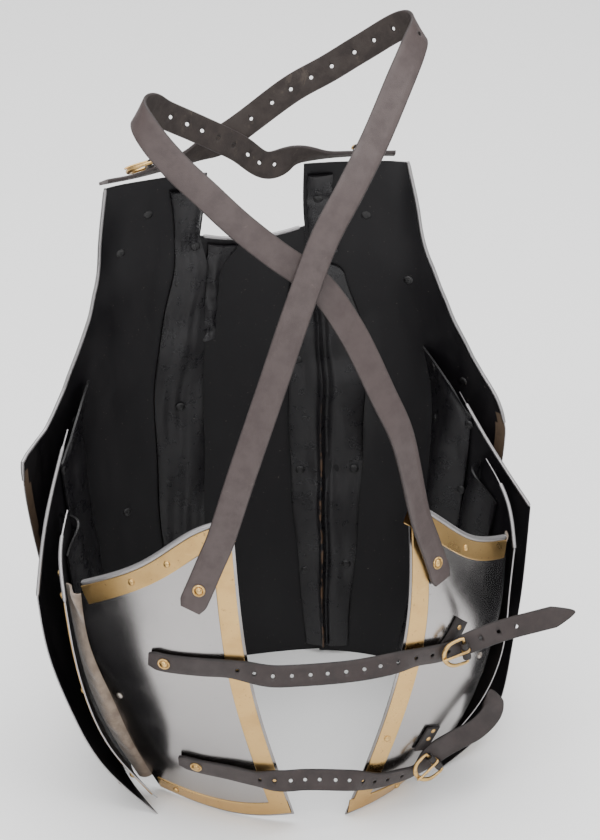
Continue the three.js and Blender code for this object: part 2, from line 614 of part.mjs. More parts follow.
// Leather between two plates, from the outer one over the inner one's front edge to its inside.
// Rows give the places [s, t] on the outer plate and the height share on the inner one.
function bridge(name, outer, inner, rows, deep) {
  const made = rows.map(([s0, t0, t1]) => [
    outer.lift(s0, t0, LINING - HIDE), inner.lift(-0.08, t1, -6), inner.lift(deep / 2, t1, -5),
    inner.lift(deep, t1, LINING - HIDE),
  ].map((p) => [p.x, p.y, p.z]));
  add(name, wall(surface(made, LEFT), [6, 7], (i, j) => [i / 6, j / 7], -HIDE / 2, HIDE / 2), COLOURS.hide);
}
// Suede between the narrow and the back plate, puffed out behind.
function suede(name, side, outer, inner, rows) {
  const made = rows.map(([t0, t1, puff]) => {
    const [a, c] = [outer.lift(0.7, t0, -3.6), inner.lift(0.01, t1, -7.2)];
    const b = a.clone().lerp(c, 0.55).add(new THREE.Vector3(side * puff * 0.4, -puff, 0));
    return [a, b, c, inner.lift(0.15, t1, -5.2)].map((p) => [p.x, p.y, p.z]);
  });
  add(name, wall(surface(made, LEFT), [6, 8], (i, j) => [i / 6, j / 8], -HIDE / 2, HIDE / 2), COLOURS.suede);
}
both((side) => {
  const name = sideName(side);
  bridge(`joint_strip_side_${name}`, flank[side], sidePlate[side], [
    [0.64, 0.03, 0.05], [0.62, 0.15, 0.33], [0.6, 0.28, 0.6], [0.58, 0.4, 0.88], [0.55, 0.5, 1],
  ], 0.2);
  bridge(`joint_strip_narrow_${name}`, sidePlate[side], narrow[side], [
    [0.34, 0.06, 0.05], [0.34, 0.34, 0.35], [0.34, 0.62, 0.62], [0.34, 0.9, 0.93],
  ], 0.35);
  suede(`joint_strip_back_${name}`, side, narrow[side], back[side], [
    [0.04, 0.05, 7], [0.3, 0.3, 9], [0.6, 0.55, 9], [0.95, 0.95, 6],
  ]);
});

// Origin: under the middle of the whole, at the floor.
const box = new THREE.Box3().setFromObject(breastplate);
const centre = box.getCenter(new THREE.Vector3());
breastplate.children.forEach((mesh) => mesh.geometry.translate(-centre.x, -centre.y, -CUT));

export default breastplate;
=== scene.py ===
"""Looks of the steel breastplate: polished plates joined by leather, brass borders, crossed straps.

Sizes are in millimetres of the plan, +Y to the wearer's front, +X to the wearer's right and +Z up.
place() brings them into the frame, in metres."""

import math

import bpy
import numpy as np
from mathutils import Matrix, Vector


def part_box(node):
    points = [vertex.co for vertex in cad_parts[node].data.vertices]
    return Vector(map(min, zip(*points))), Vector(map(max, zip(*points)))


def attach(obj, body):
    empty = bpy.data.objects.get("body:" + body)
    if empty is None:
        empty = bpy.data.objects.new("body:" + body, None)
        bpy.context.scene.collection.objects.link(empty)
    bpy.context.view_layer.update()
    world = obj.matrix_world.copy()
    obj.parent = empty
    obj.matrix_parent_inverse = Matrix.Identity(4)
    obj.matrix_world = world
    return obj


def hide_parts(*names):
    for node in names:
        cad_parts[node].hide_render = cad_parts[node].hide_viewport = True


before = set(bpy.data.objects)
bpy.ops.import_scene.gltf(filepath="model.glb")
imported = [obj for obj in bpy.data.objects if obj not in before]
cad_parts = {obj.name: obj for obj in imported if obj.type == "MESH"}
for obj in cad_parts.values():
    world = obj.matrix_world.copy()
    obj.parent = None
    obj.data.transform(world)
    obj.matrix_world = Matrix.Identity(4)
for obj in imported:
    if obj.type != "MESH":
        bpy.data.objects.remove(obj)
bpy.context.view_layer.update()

# Driving sizes
STEEL = 1.2
BRASS = 0.9
BAND = 18
HIDE = 2
STRAP = 3
CROSS_WIDTH = 25
BACK_WIDTH = 20
ROLL = 1.9
LEFT = -1
RIGHT = 1
SIDES = {LEFT: "left", RIGHT: "right"}

# Plates: a row for each height, columns from the front (or outer) edge.
MIDDLE_ROWS = [
    [0, [[72, 132.3], [37, 135.6], [0, 136.6]]],
    [120, [[72, 143.3], [37, 146.8], [0, 148]]],
    [215, [[72, 148.2], [37, 151.8], [0, 153]]],
    [318, [[71, 149.2], [36, 152.6], [0, 154]]],
    [400, [[64, 144], [33, 147.2], [0, 148.5]]],
]
NECK_ROW = [[56, 131.5, 489], [28, 136, 480], [0, 138, 477]]
FLANK_ROWS = [
    [0, [[66, 130], [97, 120], [128, 103], [154, 76], [172, 40]]],
    [120, [[66, 141], [107, 131], [147, 112], [182, 80], [208, 38]]],
    [215, [[66, 146], [112, 137], [156, 117], [196, 83], [226, 38]]],
    [318, [[65, 147], [113, 138], [160, 118], [203, 84], [236, 38]]],
    [390, [[60, 143], [103, 135], [146, 119], [185, 90], [215, 52]]],
    [453, [[54, 135], [88, 130], [122, 120], [153, 106], [182, 80]]],
    [505, [[48, 127], [80, 123], [112, 116], [143, 104], [172, 80]]],
    [560, [[45, 111], [75, 109], [107, 104], [138, 96], [165, 78]]],
]
ARM_LIMIT = {
    LEFT: [
        [0, 1], [0.14, 1], [0.286, 1], [0.428, 0.995], [0.444, 0.8], [0.476, 0.722], [0.51, 0.687],
        [0.571, 0.674], [0.64, 0.694], [0.714, 0.75], [0.857, 0.784], [1, 0.776],
    ],
    RIGHT: [
        [0, 0.97], [0.14, 0.97], [0.286, 0.965], [0.387, 0.955], [0.409, 0.934], [0.43, 0.905],
        [0.476, 0.822], [0.51, 0.79], [0.571, 0.776], [0.64, 0.812], [0.714, 0.85],
        [0.857, 0.824], [1, 0.765],
    ],
}
SIDE_ROWS = {
    LEFT: [
        [[-148, 72, 6], [-164, -12, 3], [-141, -100, 0]],
        [[-162, 76, 88], [-184, 0, 66], [-187, -82, 50]],
        [[-173, 78, 170], [-200, 8, 134], [-213, -68, 106]],
        [[-183, 76, 252], [-212, 12, 205], [-230, -53, 164]],
        [[-189, 68, 331], [-218, 12, 275], [-236, -40, 220]],
    ],
    RIGHT: [
        [[148, 72, 6], [163, -8, 3], [136, -90, 0]],
        [[162, 76, 88], [186, 8, 62], [197, -60, 30]],
        [[173, 78, 170], [204, 24, 130], [222, -32, 88]],
        [[183, 76, 250], [215, 34, 196], [236, -11, 140]],
        [[189, 68, 327], [216, 36, 276], [244, 0, 231]],
    ],
}
NARROW_ROWS = {
    LEFT: [
        [[-148, 6, 12], [-156, -42, 11], [-139, -88, 10]],
        [[-166, 10, 84], [-180, -38, 76], [-178, -86, 68]],
        [[-180, 12, 150], [-196, -34, 138], [-199, -81, 124]],
        [[-191, 10, 214], [-207, -32, 198], [-209, -76, 178]],
        [[-200, 2, 284], [-212, -32, 260], [-214, -70, 231]],
    ],
    RIGHT: [
        [[148, 16, 12], [155, -30, 11], [138, -74, 10]],
        [[166, 20, 84], [179, -25, 72], [180, -70, 58]],
        [[180, 22, 150], [195, -22, 134], [202, -66, 114]],
        [[191, 20, 214], [206, -20, 194], [207, -63, 168]],
        [[202, 14, 282], [213, -24, 256], [211, -60, 225]],
    ],
}
BACK_ROWS = {
    LEFT: [
        [[-132, -62, 3], [-105, -87, 1], [-74, -111, 1], [-45, -127, 4], [-17, -138, 10]],
        [[-157, -73, 66], [-132, -101, 71], [-104, -124, 78], [-73, -140, 86], [-40, -148, 95]],
        [[-177, -79, 130], [-152, -110, 139], [-123, -134, 151], [-92, -150, 165], [-59, -156, 180]],
        [[-195, -82, 193], [-169, -112, 203], [-139, -135, 219], [-105, -151, 240], [-69, -157, 263]],
        [[-200, -78, 256], [-176, -99, 274], [-143, -119, 299], [-107, -136, 333], [-73, -148, 348]],
    ],
    RIGHT: [
        [[99, -98, 0], [84, -110, 0], [67, -121, 0], [50, -130, 0], [32, -138, 1]],
        [[148, -94, 50], [130, -113, 55], [109, -129, 62], [84, -141, 70], [54, -146, 78]],
        [[179, -85, 115], [159, -112, 123], [134, -134, 134], [106, -148, 147], [74, -152, 162]],
        [[195, -77, 181], [174, -108, 190], [147, -132, 206], [116, -148, 228], [84, -155, 250]],
        [[199, -70, 247], [176, -87, 258], [150, -104, 276], [119, -122, 309], [85, -142, 345]],
    ],
}

# --- Smooth surfaces and lines ---
def bend_table(count):
    """Second derivatives of a natural cubic spline, for a unit value at each of its points."""
    system = np.eye(count)
    values = np.zeros((count, count))
    for i in range(1, count - 1):
        system[i, i - 1:i + 2] = 1, 4, 1
        values[i, i - 1:i + 2] = 6, -12, 6
    return np.linalg.solve(system, values)


def spline_shares(count, u):
    """What each of the evenly spaced points counts for at the places u."""
    spot = np.asarray(u, float) * (count - 1)
    i = np.clip(np.floor(spot).astype(int), 0, count - 2)
    f = (spot - i)[..., None]
    g = 1 - f
    table = bend_table(count)
    eye = np.eye(count)
    return g * eye[i] + f * eye[i + 1] + ((g**3 - g) * table[i] + (f**3 - f) * table[i + 1]) / 6


def unit(vectors):
    """Vectors brought to length 1."""
    return vectors / np.maximum(np.linalg.norm(vectors, axis=-1, keepdims=True), 1e-9)


class Surface:
    """Smooth surface through rows of points; its normals point out of the body."""

    def __init__(self, rows, side):
        self.net = np.array(rows, float)
        self.side = side

    def at(self, s, t):
        s, t = np.broadcast_arrays(np.asarray(s, float), np.asarray(t, float))
        across = spline_shares(self.net.shape[1], s)
        up = spline_shares(self.net.shape[0], t)
        return np.einsum("...r,...c,rck->...k", up, across, self.net)

    def slopes(self, s, t):
        s, t = np.asarray(s, float), np.asarray(t, float)
        ds = (self.at(s + 1e-3, t) - self.at(s - 1e-3, t)) / 2e-3
        dt = (self.at(s, t + 1e-3) - self.at(s, t - 1e-3)) / 2e-3
        return ds, dt

    def normal(self, s, t):
        ds, dt = self.slopes(s, t)
        return unit(np.cross(ds, dt)) * -self.side

    def lift(self, s, t, height):
        return self.at(s, t) + self.normal(s, t) * np.asarray(height, float)[..., None]


def smooth_value(table, u):
    """Value at u of a smooth line through a table of (u, value), without overshoot."""
    x, y = np.array(table, float).T
    gap = np.diff(x)
    rise = np.diff(y) / gap
    slope = np.zeros_like(y)
    same = rise[:-1] * rise[1:] > 0
    total = np.where(same, rise[:-1] + rise[1:], 1)
    slope[1:-1] = np.where(same, 2 * rise[:-1] * rise[1:] / total, 0)
    slope[0], slope[-1] = rise[0], rise[-1]
    u = np.asarray(u, float)
    i = np.clip(np.searchsorted(x, u, side="right") - 1, 0, len(x) - 2)
    f = (u - x[i]) / gap[i]
    start = (1 + 2 * f) * (1 - f) ** 2 * y[i] + f * (1 - f) ** 2 * gap[i] * slope[i]
    return start + f * f * (3 - 2 * f) * y[i + 1] + f * f * (f - 1) * gap[i] * slope[i + 1]


def middle_row(points):
    """A whole row of the central plate from the points of one half."""
    return [[-x, y, z] for x, y, z in points] + points[:-1][::-1]


middle = Surface(
    [middle_row([[x, y, z] for x, y in points]) for z, points in MIDDLE_ROWS] + [middle_row(NECK_ROW)], RIGHT)
flank = {side: Surface([[[side * x, y, z] for x, y in points] for z, points in FLANK_ROWS], side)
         for side in SIDES}
side_plate = {side: Surface(SIDE_ROWS[side], side) for side in SIDES}
narrow = {side: Surface(NARROW_ROWS[side], side) for side in SIDES}
back = {side: Surface(BACK_ROWS[side], side) for side in SIDES}


def plan_origin():
    """The spot of the plan that the frame's origin is at, from the central plate's box."""
    low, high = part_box("central_plate")
    u = np.linspace(0, 1, 9)
    outer = middle.lift(u[:, None], u[None, :], STEEL / 2)
    return np.array([-(low.x + high.x) * 500, outer[..., 1].max() - high.y * 1000, 0.3])


ORIGIN = plan_origin()


def place(points):
    """Points of the plan brought into the frame, in metres."""
    return (np.asarray(points, float) - ORIGIN) / 1000


# --- Mesh making ---
def make_piece(name, points, faces, materials, face_material=None, smooth_angle=40, values=None):
    """A mesh piece at the origin, from points of the plan. values are named numbers for each point."""
    mesh = bpy.data.meshes.new(name)
    mesh.from_pydata([tuple(p) for p in place(points)], [], faces)
    for material in materials:
        mesh.materials.append(material)
    if face_material is not None:
        mesh.polygons.foreach_set("material_index", face_material)
    for key, numbers in (values or {}).items():
        layer = mesh.attributes.new(key, "FLOAT", "POINT")
        layer.data.foreach_set("value", np.asarray(numbers, np.float32).ravel())
    mesh.shade_smooth()
    mesh.set_sharp_from_angle(angle=math.radians(smooth_angle))
    piece = bpy.data.objects.new(name, mesh)
    bpy.context.scene.collection.objects.link(piece)
    return piece


def settle(piece, slot, *nodes):
    """The piece rides on the root body and stands for the nodes, which it hides. The slot is not used."""
    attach(piece, "root")
    if nodes:
        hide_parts(*nodes)
    return piece


def grid_faces(rows, columns, start=0, flip=False):
    """Four-sided faces of a grid of points."""
    faces = []
    for i in range(rows - 1):
        for j in range(columns - 1):
            a = start + i * columns + j
            face = (a, a + 1, a + columns + 1, a + columns)
            faces.append(face[::-1] if flip else face)
    return faces


def shell(name, outer, inner, materials, values=None, flip=False, smooth_angle=40):
    """A closed wall between two grids of points: outside, inside and rim."""
    rows, columns = outer.shape[:2]
    count = rows * columns
    faces = grid_faces(rows, columns, 0, flip) + grid_faces(rows, columns, count, not flip)
    kinds = [0] * (len(faces) // 2) + [1] * (len(faces) // 2)
    rim = [(i, 0) for i in range(rows)] + [(rows - 1, j) for j in range(1, columns)]
    rim += [(i, columns - 1) for i in range(rows - 2, -1, -1)] + [(0, j) for j in range(columns - 2, 0, -1)]
    loop = [i * columns + j for i, j in rim]
    for a, b in zip(loop, loop[1:] + loop[:1]):
        face = (a, b, b + count, a + count)
        faces.append(face[::-1] if flip else face)
        kinds.append(2 if len(materials) > 2 else 0)
    points = np.concatenate([outer.reshape(-1, 3), inner.reshape(-1, 3)])
    both = {key: np.concatenate([numbers.ravel()] * 2) for key, numbers in (values or {}).items()}
    return make_piece(name, points, faces, materials, kinds, smooth_angle, both)


def loft_parts(rings, closed=False, start=0):
    """Points and faces of a solid through closed rings, capped at its ends unless it is closed."""
    rings = np.asarray(rings, float)
    count, sides = rings.shape[:2]
    faces = []
    for k in range(count if closed else count - 1):
        a, b = k * sides, (k + 1) % count * sides
        for i in range(sides):
            j = (i + 1) % sides
            faces.append((start + a + i, start + a + j, start + b + j, start + b + i))
    if not closed:
        faces.append(tuple(start + i for i in range(sides))[::-1])
        faces.append(tuple(start + (count - 1) * sides + i for i in range(sides)))
    return rings.reshape(-1, 3), faces


def outward(piece):
    """Turns the faces of a closed piece outwards."""
    mesh = piece.data
    corners = np.empty(len(mesh.vertices) * 3)
    mesh.vertices.foreach_get("co", corners)
    corners = corners.reshape(-1, 3)
    mesh.calc_loop_triangles()
    tris = np.empty(len(mesh.loop_triangles) * 3, np.int32)
    mesh.loop_triangles.foreach_get("vertices", tris)
    a, b, c = (corners[tris.reshape(-1, 3)[:, k]] for k in range(3))
    if np.einsum("ij,ij->i", a, np.cross(b, c)).sum() < 0:
        mesh.flip_normals()
    return piece


def line_frames(points, face):
    """Directions along, across and out of a line of points, near the given face directions."""
    along = unit(np.gradient(points, axis=0))
    out = unit(face - along * np.sum(face * along, axis=1, keepdims=True))
    return along, np.cross(along, out), out


def tube(points, face, radius, sides=10, closed=False):
    """Rings of a round rod; radius may be a number for each point."""
    along, across, out = line_frames(points, face)
    if closed:
        along = unit(np.roll(points, -1, axis=0) - np.roll(points, 1, axis=0))
        out = unit(face - along * np.sum(face * along, axis=1, keepdims=True))
        across = np.cross(along, out)
    turn = np.linspace(0, 2 * math.pi, sides, endpoint=False)
    size = np.broadcast_to(np.asarray(radius, float), (len(points),))[:, None, None]
    round_off = np.cos(turn)[None, :, None] * across[:, None] + np.sin(turn)[None, :, None] * out[:, None]
    return points[:, None] + size * round_off


def merge(name, parts, materials, smooth_angle=40):
    """One piece from several (points, faces) parts."""
    points, faces, start = [], [], 0
    for some, more in parts:
        points.append(some)
        faces += [tuple(start + i for i in face) for face in more]
        start += len(some)
    return make_piece(name, np.concatenate(points), faces, materials, None, smooth_angle)


# --- Finishes ---
class Finish:
    """A node material under construction: each method adds one kind of detail."""

    def __init__(self, name, color, roughness, metallic=0.0, specular=0.5):
        self.material = bpy.data.materials.new(name)
        self.material.use_nodes = True
        self.tree = self.material.node_tree
        self.shader = self.tree.nodes["Principled BSDF"]
        self.shader.inputs["Metallic"].default_value = metallic
        self.shader.inputs["Specular IOR Level"].default_value = specular
        self.where = self.tree.nodes.new("ShaderNodeTexCoord").outputs["Object"]
        self.color = None
        self.base_color = (*color, 1)
        self.rough = None
        self.base_rough = roughness
        self.height = None

    def noise(self, scale, stretch=(1, 1, 1), detail=4.0, rough=0.5, twist=0.0):
        """Noise of so many bumps a metre, stretched along the axes."""
        mapping = self.tree.nodes.new("ShaderNodeMapping")
        mapping.inputs["Scale"].default_value = stretch
        self.tree.links.new(self.where, mapping.inputs["Vector"])
        node = self.tree.nodes.new("ShaderNodeTexNoise")
        node.inputs["Scale"].default_value = scale
        node.inputs["Detail"].default_value = detail
        node.inputs["Roughness"].default_value = rough
        node.inputs["Distortion"].default_value = twist
        self.tree.links.new(mapping.outputs[0], node.inputs["Vector"])
        return node.outputs["Fac"]

    def cells(self, scale):
        node = self.tree.nodes.new("ShaderNodeTexVoronoi")
        node.feature = "DISTANCE_TO_EDGE"
        node.inputs["Scale"].default_value = scale
        self.tree.links.new(self.where, node.inputs["Vector"])
        return node.outputs["Distance"]

    def attribute(self, name):
        node = self.tree.nodes.new("ShaderNodeAttribute")
        node.attribute_name = name
        return node.outputs["Fac"]

    def band(self, value, low, high, out_low=0.0, out_high=1.0):
        """The value brought from low..high to out_low..out_high, and held there."""
        node = self.tree.nodes.new("ShaderNodeMapRange")
        node.interpolation_type = "SMOOTHSTEP"
        for socket, number in zip(list(node.inputs)[1:5], (low, high, out_low, out_high)):
            socket.default_value = number
        self.tree.links.new(value, node.inputs[0])
        return node.outputs[0]

    def product(self, a, b):
        node = self.tree.nodes.new("ShaderNodeMath")
        node.operation = "MULTIPLY"
        for socket, value in zip(node.inputs, (a, b)):
            if isinstance(value, (int, float)):
                socket.default_value = value
            else:
                self.tree.links.new(value, socket)
        return node.outputs[0]

    def paint(self, share, color):
        """Mixes a colour in by a share."""
        node = self.tree.nodes.new("ShaderNodeMix")
        node.data_type = "RGBA"
        self.tree.links.new(share, node.inputs["Factor"])
        if self.color is None:
            node.inputs["A"].default_value = self.base_color
        else:
            self.tree.links.new(self.color, node.inputs["A"])
        node.inputs["B"].default_value = (*color, 1)
        self.color = node.outputs["Result"]

    def roughen(self, share, roughness):
        node = self.tree.nodes.new("ShaderNodeMix")
        self.tree.links.new(share, node.inputs["Factor"])
        if self.rough is None:
            node.inputs["A"].default_value = self.base_rough
        else:
            self.tree.links.new(self.rough, node.inputs["A"])
        node.inputs["B"].default_value = roughness
        self.rough = node.outputs["Result"]

    def bump(self, share, depth_mm, strength=1.0):
        node = self.tree.nodes.new("ShaderNodeBump")
        node.inputs["Distance"].default_value = depth_mm / 1000
        node.inputs["Strength"].default_value = strength
        self.tree.links.new(share, node.inputs["Height"])
        if self.height is not None:
            self.tree.links.new(self.height, node.inputs["Normal"])
        self.height = node.outputs["Normal"]

    def done(self):
        if self.color is None:
            self.shader.inputs["Base Color"].default_value = self.base_color
        else:
            self.tree.links.new(self.color, self.shader.inputs["Base Color"])
        if self.rough is None:
            self.shader.inputs["Roughness"].default_value = self.base_rough
        else:
            self.tree.links.new(self.rough, self.shader.inputs["Roughness"])
        if self.height is not None:
            self.tree.links.new(self.height, self.shader.inputs["Normal"])
        return self.material


def polished_steel():
    finish = Finish("polished_steel", (0.36, 0.345, 0.34), 0.22, metallic=1)
    cloud = finish.noise(9, detail=3)
    finish.paint(finish.band(cloud, 0.45, 0.75, 0, 0.35), (0.26, 0.25, 0.245))
    edge = finish.band(finish.attribute("edge"), 0, 9, 1, 0)
    finish.paint(finish.product(edge, finish.band(cloud, 0.3, 0.6)), (0.2, 0.185, 0.175))
    speck = finish.noise(420, detail=2)
    finish.paint(finish.band(speck, 0.68, 0.74, 0, 0.35), (0.16, 0.13, 0.11))
    finish.roughen(finish.band(finish.noise(40, detail=4), 0.4, 0.7), 0.27)
    finish.bump(finish.noise(7, detail=1), 0.8, 0.2)
    return finish.done()


def rolled_steel():
    finish = Finish("rolled_steel", (0.33, 0.32, 0.325), 0.34, metallic=1)
    wear = finish.noise(130, detail=5)
    finish.paint(finish.band(wear, 0.5, 0.7, 0, 0.55), (0.3, 0.29, 0.29))
    finish.roughen(wear, 0.5)
    finish.bump(wear, 0.12, 0.4)
    return finish.done()


def border_brass():
    finish = Finish("border_brass", (0.56, 0.36, 0.145), 0.26, metallic=1)
    cloud = finish.noise(24, detail=5, rough=0.6)
    finish.paint(finish.band(cloud, 0.45, 0.72, 0, 0.6), (0.44, 0.27, 0.105))
    rub = finish.noise(90, (1, 1, 9), detail=5, rough=0.65)
    finish.paint(finish.band(rub, 0.55, 0.75, 0, 0.4), (0.64, 0.44, 0.2))
    stain = finish.noise(300, detail=3)
    finish.paint(finish.band(stain, 0.66, 0.73, 0, 0.55), (0.2, 0.12, 0.06))
    finish.roughen(finish.band(cloud, 0.3, 0.7), 0.4)
    finish.bump(rub, 0.02, 0.08)
    finish.bump(finish.noise(16, detail=1), 0.4, 0.25)
    return finish.done()


def cast_brass():
    finish = Finish("cast_brass", (0.58, 0.38, 0.15), 0.26, metallic=1)
    wear = finish.noise(260, detail=4)
    finish.paint(finish.band(wear, 0.48, 0.7, 0, 0.7), (0.33, 0.2, 0.08))
    finish.roughen(wear, 0.45)
    finish.bump(wear, 0.1, 0.35)
    return finish.done()


def dark_steel():
    finish = Finish("aged_rivet_steel", (0.4, 0.36, 0.32), 0.35, metallic=1)
    wear = finish.noise(300, detail=4)
    finish.paint(finish.band(wear, 0.45, 0.65, 0, 0.8), (0.13, 0.09, 0.06))
    finish.roughen(wear, 0.6)
    return finish.done()


def black_paint():
    finish = Finish("black_inside_paint", (0.004, 0.0035, 0.0045), 0.34, specular=0.28)
    drip = finish.noise(26, (1, 1, 0.35), detail=5, rough=0.62)
    finish.paint(finish.band(drip, 0.48, 0.75, 0, 0.8), (0.009, 0.008, 0.009))
    fleck = finish.noise(520, detail=3)
    finish.paint(finish.band(fleck, 0.7, 0.76, 0, 0.6), (0.12, 0.1, 0.085))
    scratch = finish.noise(34, (9, 1, 1), detail=6, rough=0.75, twist=2.2)
    finish.paint(finish.band(scratch, 0.715, 0.74, 0, 0.45), (0.14, 0.12, 0.1))
    finish.roughen(finish.band(drip, 0.3, 0.7), 0.56)
    finish.bump(drip, 0.6, 0.35)
    finish.bump(finish.noise(900, detail=2), 0.06, 0.5)
    bare = finish.band(finish.attribute("bare"), 0.45, 0.55)
    stain = finish.product(bare, finish.band(finish.noise(70, detail=5), 0.2, 0.5, 0.6, 1))
    finish.paint(stain, (0.085, 0.06, 0.042))
    return finish.done()


def leather(name, color, shade, worn, roughness, grain=900, worn_from=0.62, crease=0.35, specular=0.4):
    """Leather with a pebbled grain, a darker mottle and worn spots."""
    finish = Finish(name, color, roughness, specular=specular)
    mottle = finish.noise(70, detail=6, rough=0.65)
    finish.paint(finish.band(mottle, 0.35, 0.7, 0, 0.85), shade)
    fold = finish.noise(45, (1, 1, 1), detail=7, rough=0.75, twist=0.6)
    finish.paint(finish.band(fold, worn_from, worn_from + 0.1, 0, 0.7), worn)
    edge = finish.band(finish.attribute("edge"), 0.2, 1.6, 0.75, 0)
    finish.paint(edge, tuple(0.35 * part for part in shade))
    crest = finish.product(finish.attribute("crest"), finish.band(mottle, 0.35, 0.6))
    finish.paint(finish.band(crest, 0.35, 0.75), (0.1, 0.058, 0.034))
    pebble = finish.cells(grain)
    finish.roughen(finish.band(mottle, 0.3, 0.7), min(1, roughness + 0.14))
    finish.bump(finish.band(pebble, 0, 0.25), 0.12, 0.5)
    finish.bump(fold, 0.5, crease)
    return finish.done()


def suede():
    finish = Finish("suede", (0.17, 0.13, 0.1), 0.92, specular=0.15)
    finish.shader.inputs["Sheen Weight"].default_value = 0.35
    finish.shader.inputs["Sheen Roughness"].default_value = 0.45
    nap = finish.noise(110, detail=7, rough=0.7)
    finish.paint(finish.band(nap, 0.35, 0.65, 0, 0.8), (0.26, 0.205, 0.16))
    rub = finish.noise(18, detail=4)
    finish.paint(finish.band(rub, 0.5, 0.7, 0, 0.7), (0.07, 0.052, 0.042))
    finish.bump(finish.noise(1300, detail=3, rough=0.7), 0.35, 0.8)
    finish.bump(nap, 1.2, 0.5)
    return finish.done()


STEEL_FINISH = polished_steel()
ROLL_FINISH = rolled_steel()
BRASS_FINISH = border_brass()
CAST_FINISH = cast_brass()
RIVET_STEEL = dark_steel()
PAINT_FINISH = black_paint()
GRAIN_FINISH = leather("strap_grain", (0.062, 0.045, 0.043), (0.046, 0.032, 0.031), (0.1, 0.078, 0.068),
                       0.4)
FLESH_FINISH = leather("strap_flesh", (0.03, 0.022, 0.019), (0.018, 0.013, 0.012), (0.065, 0.05, 0.04),
                       0.72, grain=500, worn_from=0.56)
DARK_STRAP = leather("back_strap_grain", (0.028, 0.019, 0.018), (0.018, 0.0125, 0.012),
                     (0.07, 0.05, 0.042), 0.42)
LINING_FINISH = leather("painted_leather", (0.007, 0.0065, 0.008), (0.012, 0.011, 0.012),
                        (0.05, 0.035, 0.025), 0.24, grain=1500, worn_from=0.76, crease=0.12, specular=0.45)
SUEDE_FINISH = suede()


# --- Plates ---
def edge_distances(points):
    """How far each grid point is from the grid's edges, in millimetres, along its own row and column."""
    def runs(axis):
        steps = np.linalg.norm(np.diff(points, axis=axis), axis=-1)
        total = np.cumsum(steps, axis=axis)
        zero = np.zeros_like(np.take(total, [0], axis=axis))
        start = np.concatenate([zero, total], axis=axis)
        return np.minimum(start, np.take(start, [-1], axis=axis) - start)
    return np.minimum(runs(0), runs(1))


def wavy(points, depth, scale, seed):
    """Small smooth heights for hand-worked sheet, from a few sine waves through the points."""
    spin = np.random.default_rng(seed)
    total = np.zeros(points.shape[:-1])
    for _ in range(7):
        pull = unit(spin.normal(size=3)) * scale * spin.uniform(0.5, 1.6)
        total += np.sin(points @ pull + spin.uniform(0, 6.28))
    return total * depth / 2.6


def plate(name, surf, limit=None, seed=1, bare=None, dents=0.25, across=44, up=90):
    """A bent plate, steel outside and painted inside, with a rim of bare steel."""
    t = np.linspace(0, 1, up + 1)[None, :]
    s = np.linspace(0, 1, across + 1)[:, None] * (limit(t) if limit else np.ones_like(t))
    t = np.broadcast_to(t, s.shape)
    rough = wavy(surf.at(s, t), dents, 0.035, seed) * np.minimum(1, edge_distances(surf.at(s, t)) / 25)
    outer = surf.lift(s, t, STEEL / 2 + rough)
    inner = surf.lift(s, t, -STEEL / 2 + rough)
    outer[..., 2] = np.maximum(outer[..., 2], ORIGIN[2])
    inner[..., 2] = np.maximum(inner[..., 2], ORIGIN[2])
    edge = edge_distances(outer)
    unpainted = bare(s, t) if bare else np.zeros_like(s)
    return outward(shell(name, outer, inner, [STEEL_FINISH, PAINT_FINISH, ROLL_FINISH],
                         {"edge": edge, "bare": unpainted}))


def rolled_edge(name, surf, s, t, radius=ROLL):
    """The rolled edge of a plate, thinner at both ends."""
    s, t = np.broadcast_arrays(np.asarray(s, float), np.asarray(t, float))
    line, face = surf.lift(s, t, 0), surf.normal(s, t)
    share = np.linspace(0, 1, len(line))
    taper = np.minimum(1, 0.75 + 12 * np.minimum(share, 1 - share))
    piece = merge(name, [loft_parts(tube(line, face, radius * taper, 12))], [ROLL_FINISH])
    return settle(outward(piece), "steel")


def arm_limit(side):
    """How far a flank plate reaches in s at each height."""
    return lambda t: smooth_value(ARM_LIMIT[side], np.clip(t, 0, 1))


def rear_strip(side):
    """1 on the unpainted strip inside a flank plate's rear edge, below the arm opening."""
    limit = arm_limit(side)

    def bare(s, t):
        width = 0.045 + 0.012 * np.sin(t * 40)
        return ((s > limit(t) - width) & (t < 0.41) & (t > 0.05)).astype(float)
    return bare


settle(plate("central_plate_shell", middle, seed=3, across=60), "steel", "central_plate")
rolled_edge("neck_roll", middle, np.linspace(0.09, 0.91, 60), 1)
for side, word in SIDES.items():
    limit = arm_limit(side)
    flank_shell = plate(f"flank_plate_shell_{word}", flank[side], limit, 5 + side, rear_strip(side),
                        across=64, up=130)
    settle(flank_shell, "steel", f"flank_plate_{word}")
    rise = np.linspace(0.4, 1, 110)
    rolled_edge(f"arm_roll_{word}", flank[side], limit(rise), rise)
    for name, surf, start, radius in (
            ("side_plate", side_plate[side], 0.1, ROLL), ("narrow_plate", narrow[side], 0.3, ROLL),
            ("back_plate", back[side], 0.02, 2.7)):
        bent = plate(f"{name}_shell_{word}", surf, None, len(name) + side, dents=0.16)
        settle(bent, "steel", f"{name}_{word}")
        rolled_edge(f"{name}_roll_{word}", surf, np.linspace(start, 0.99, 50), 1, radius)


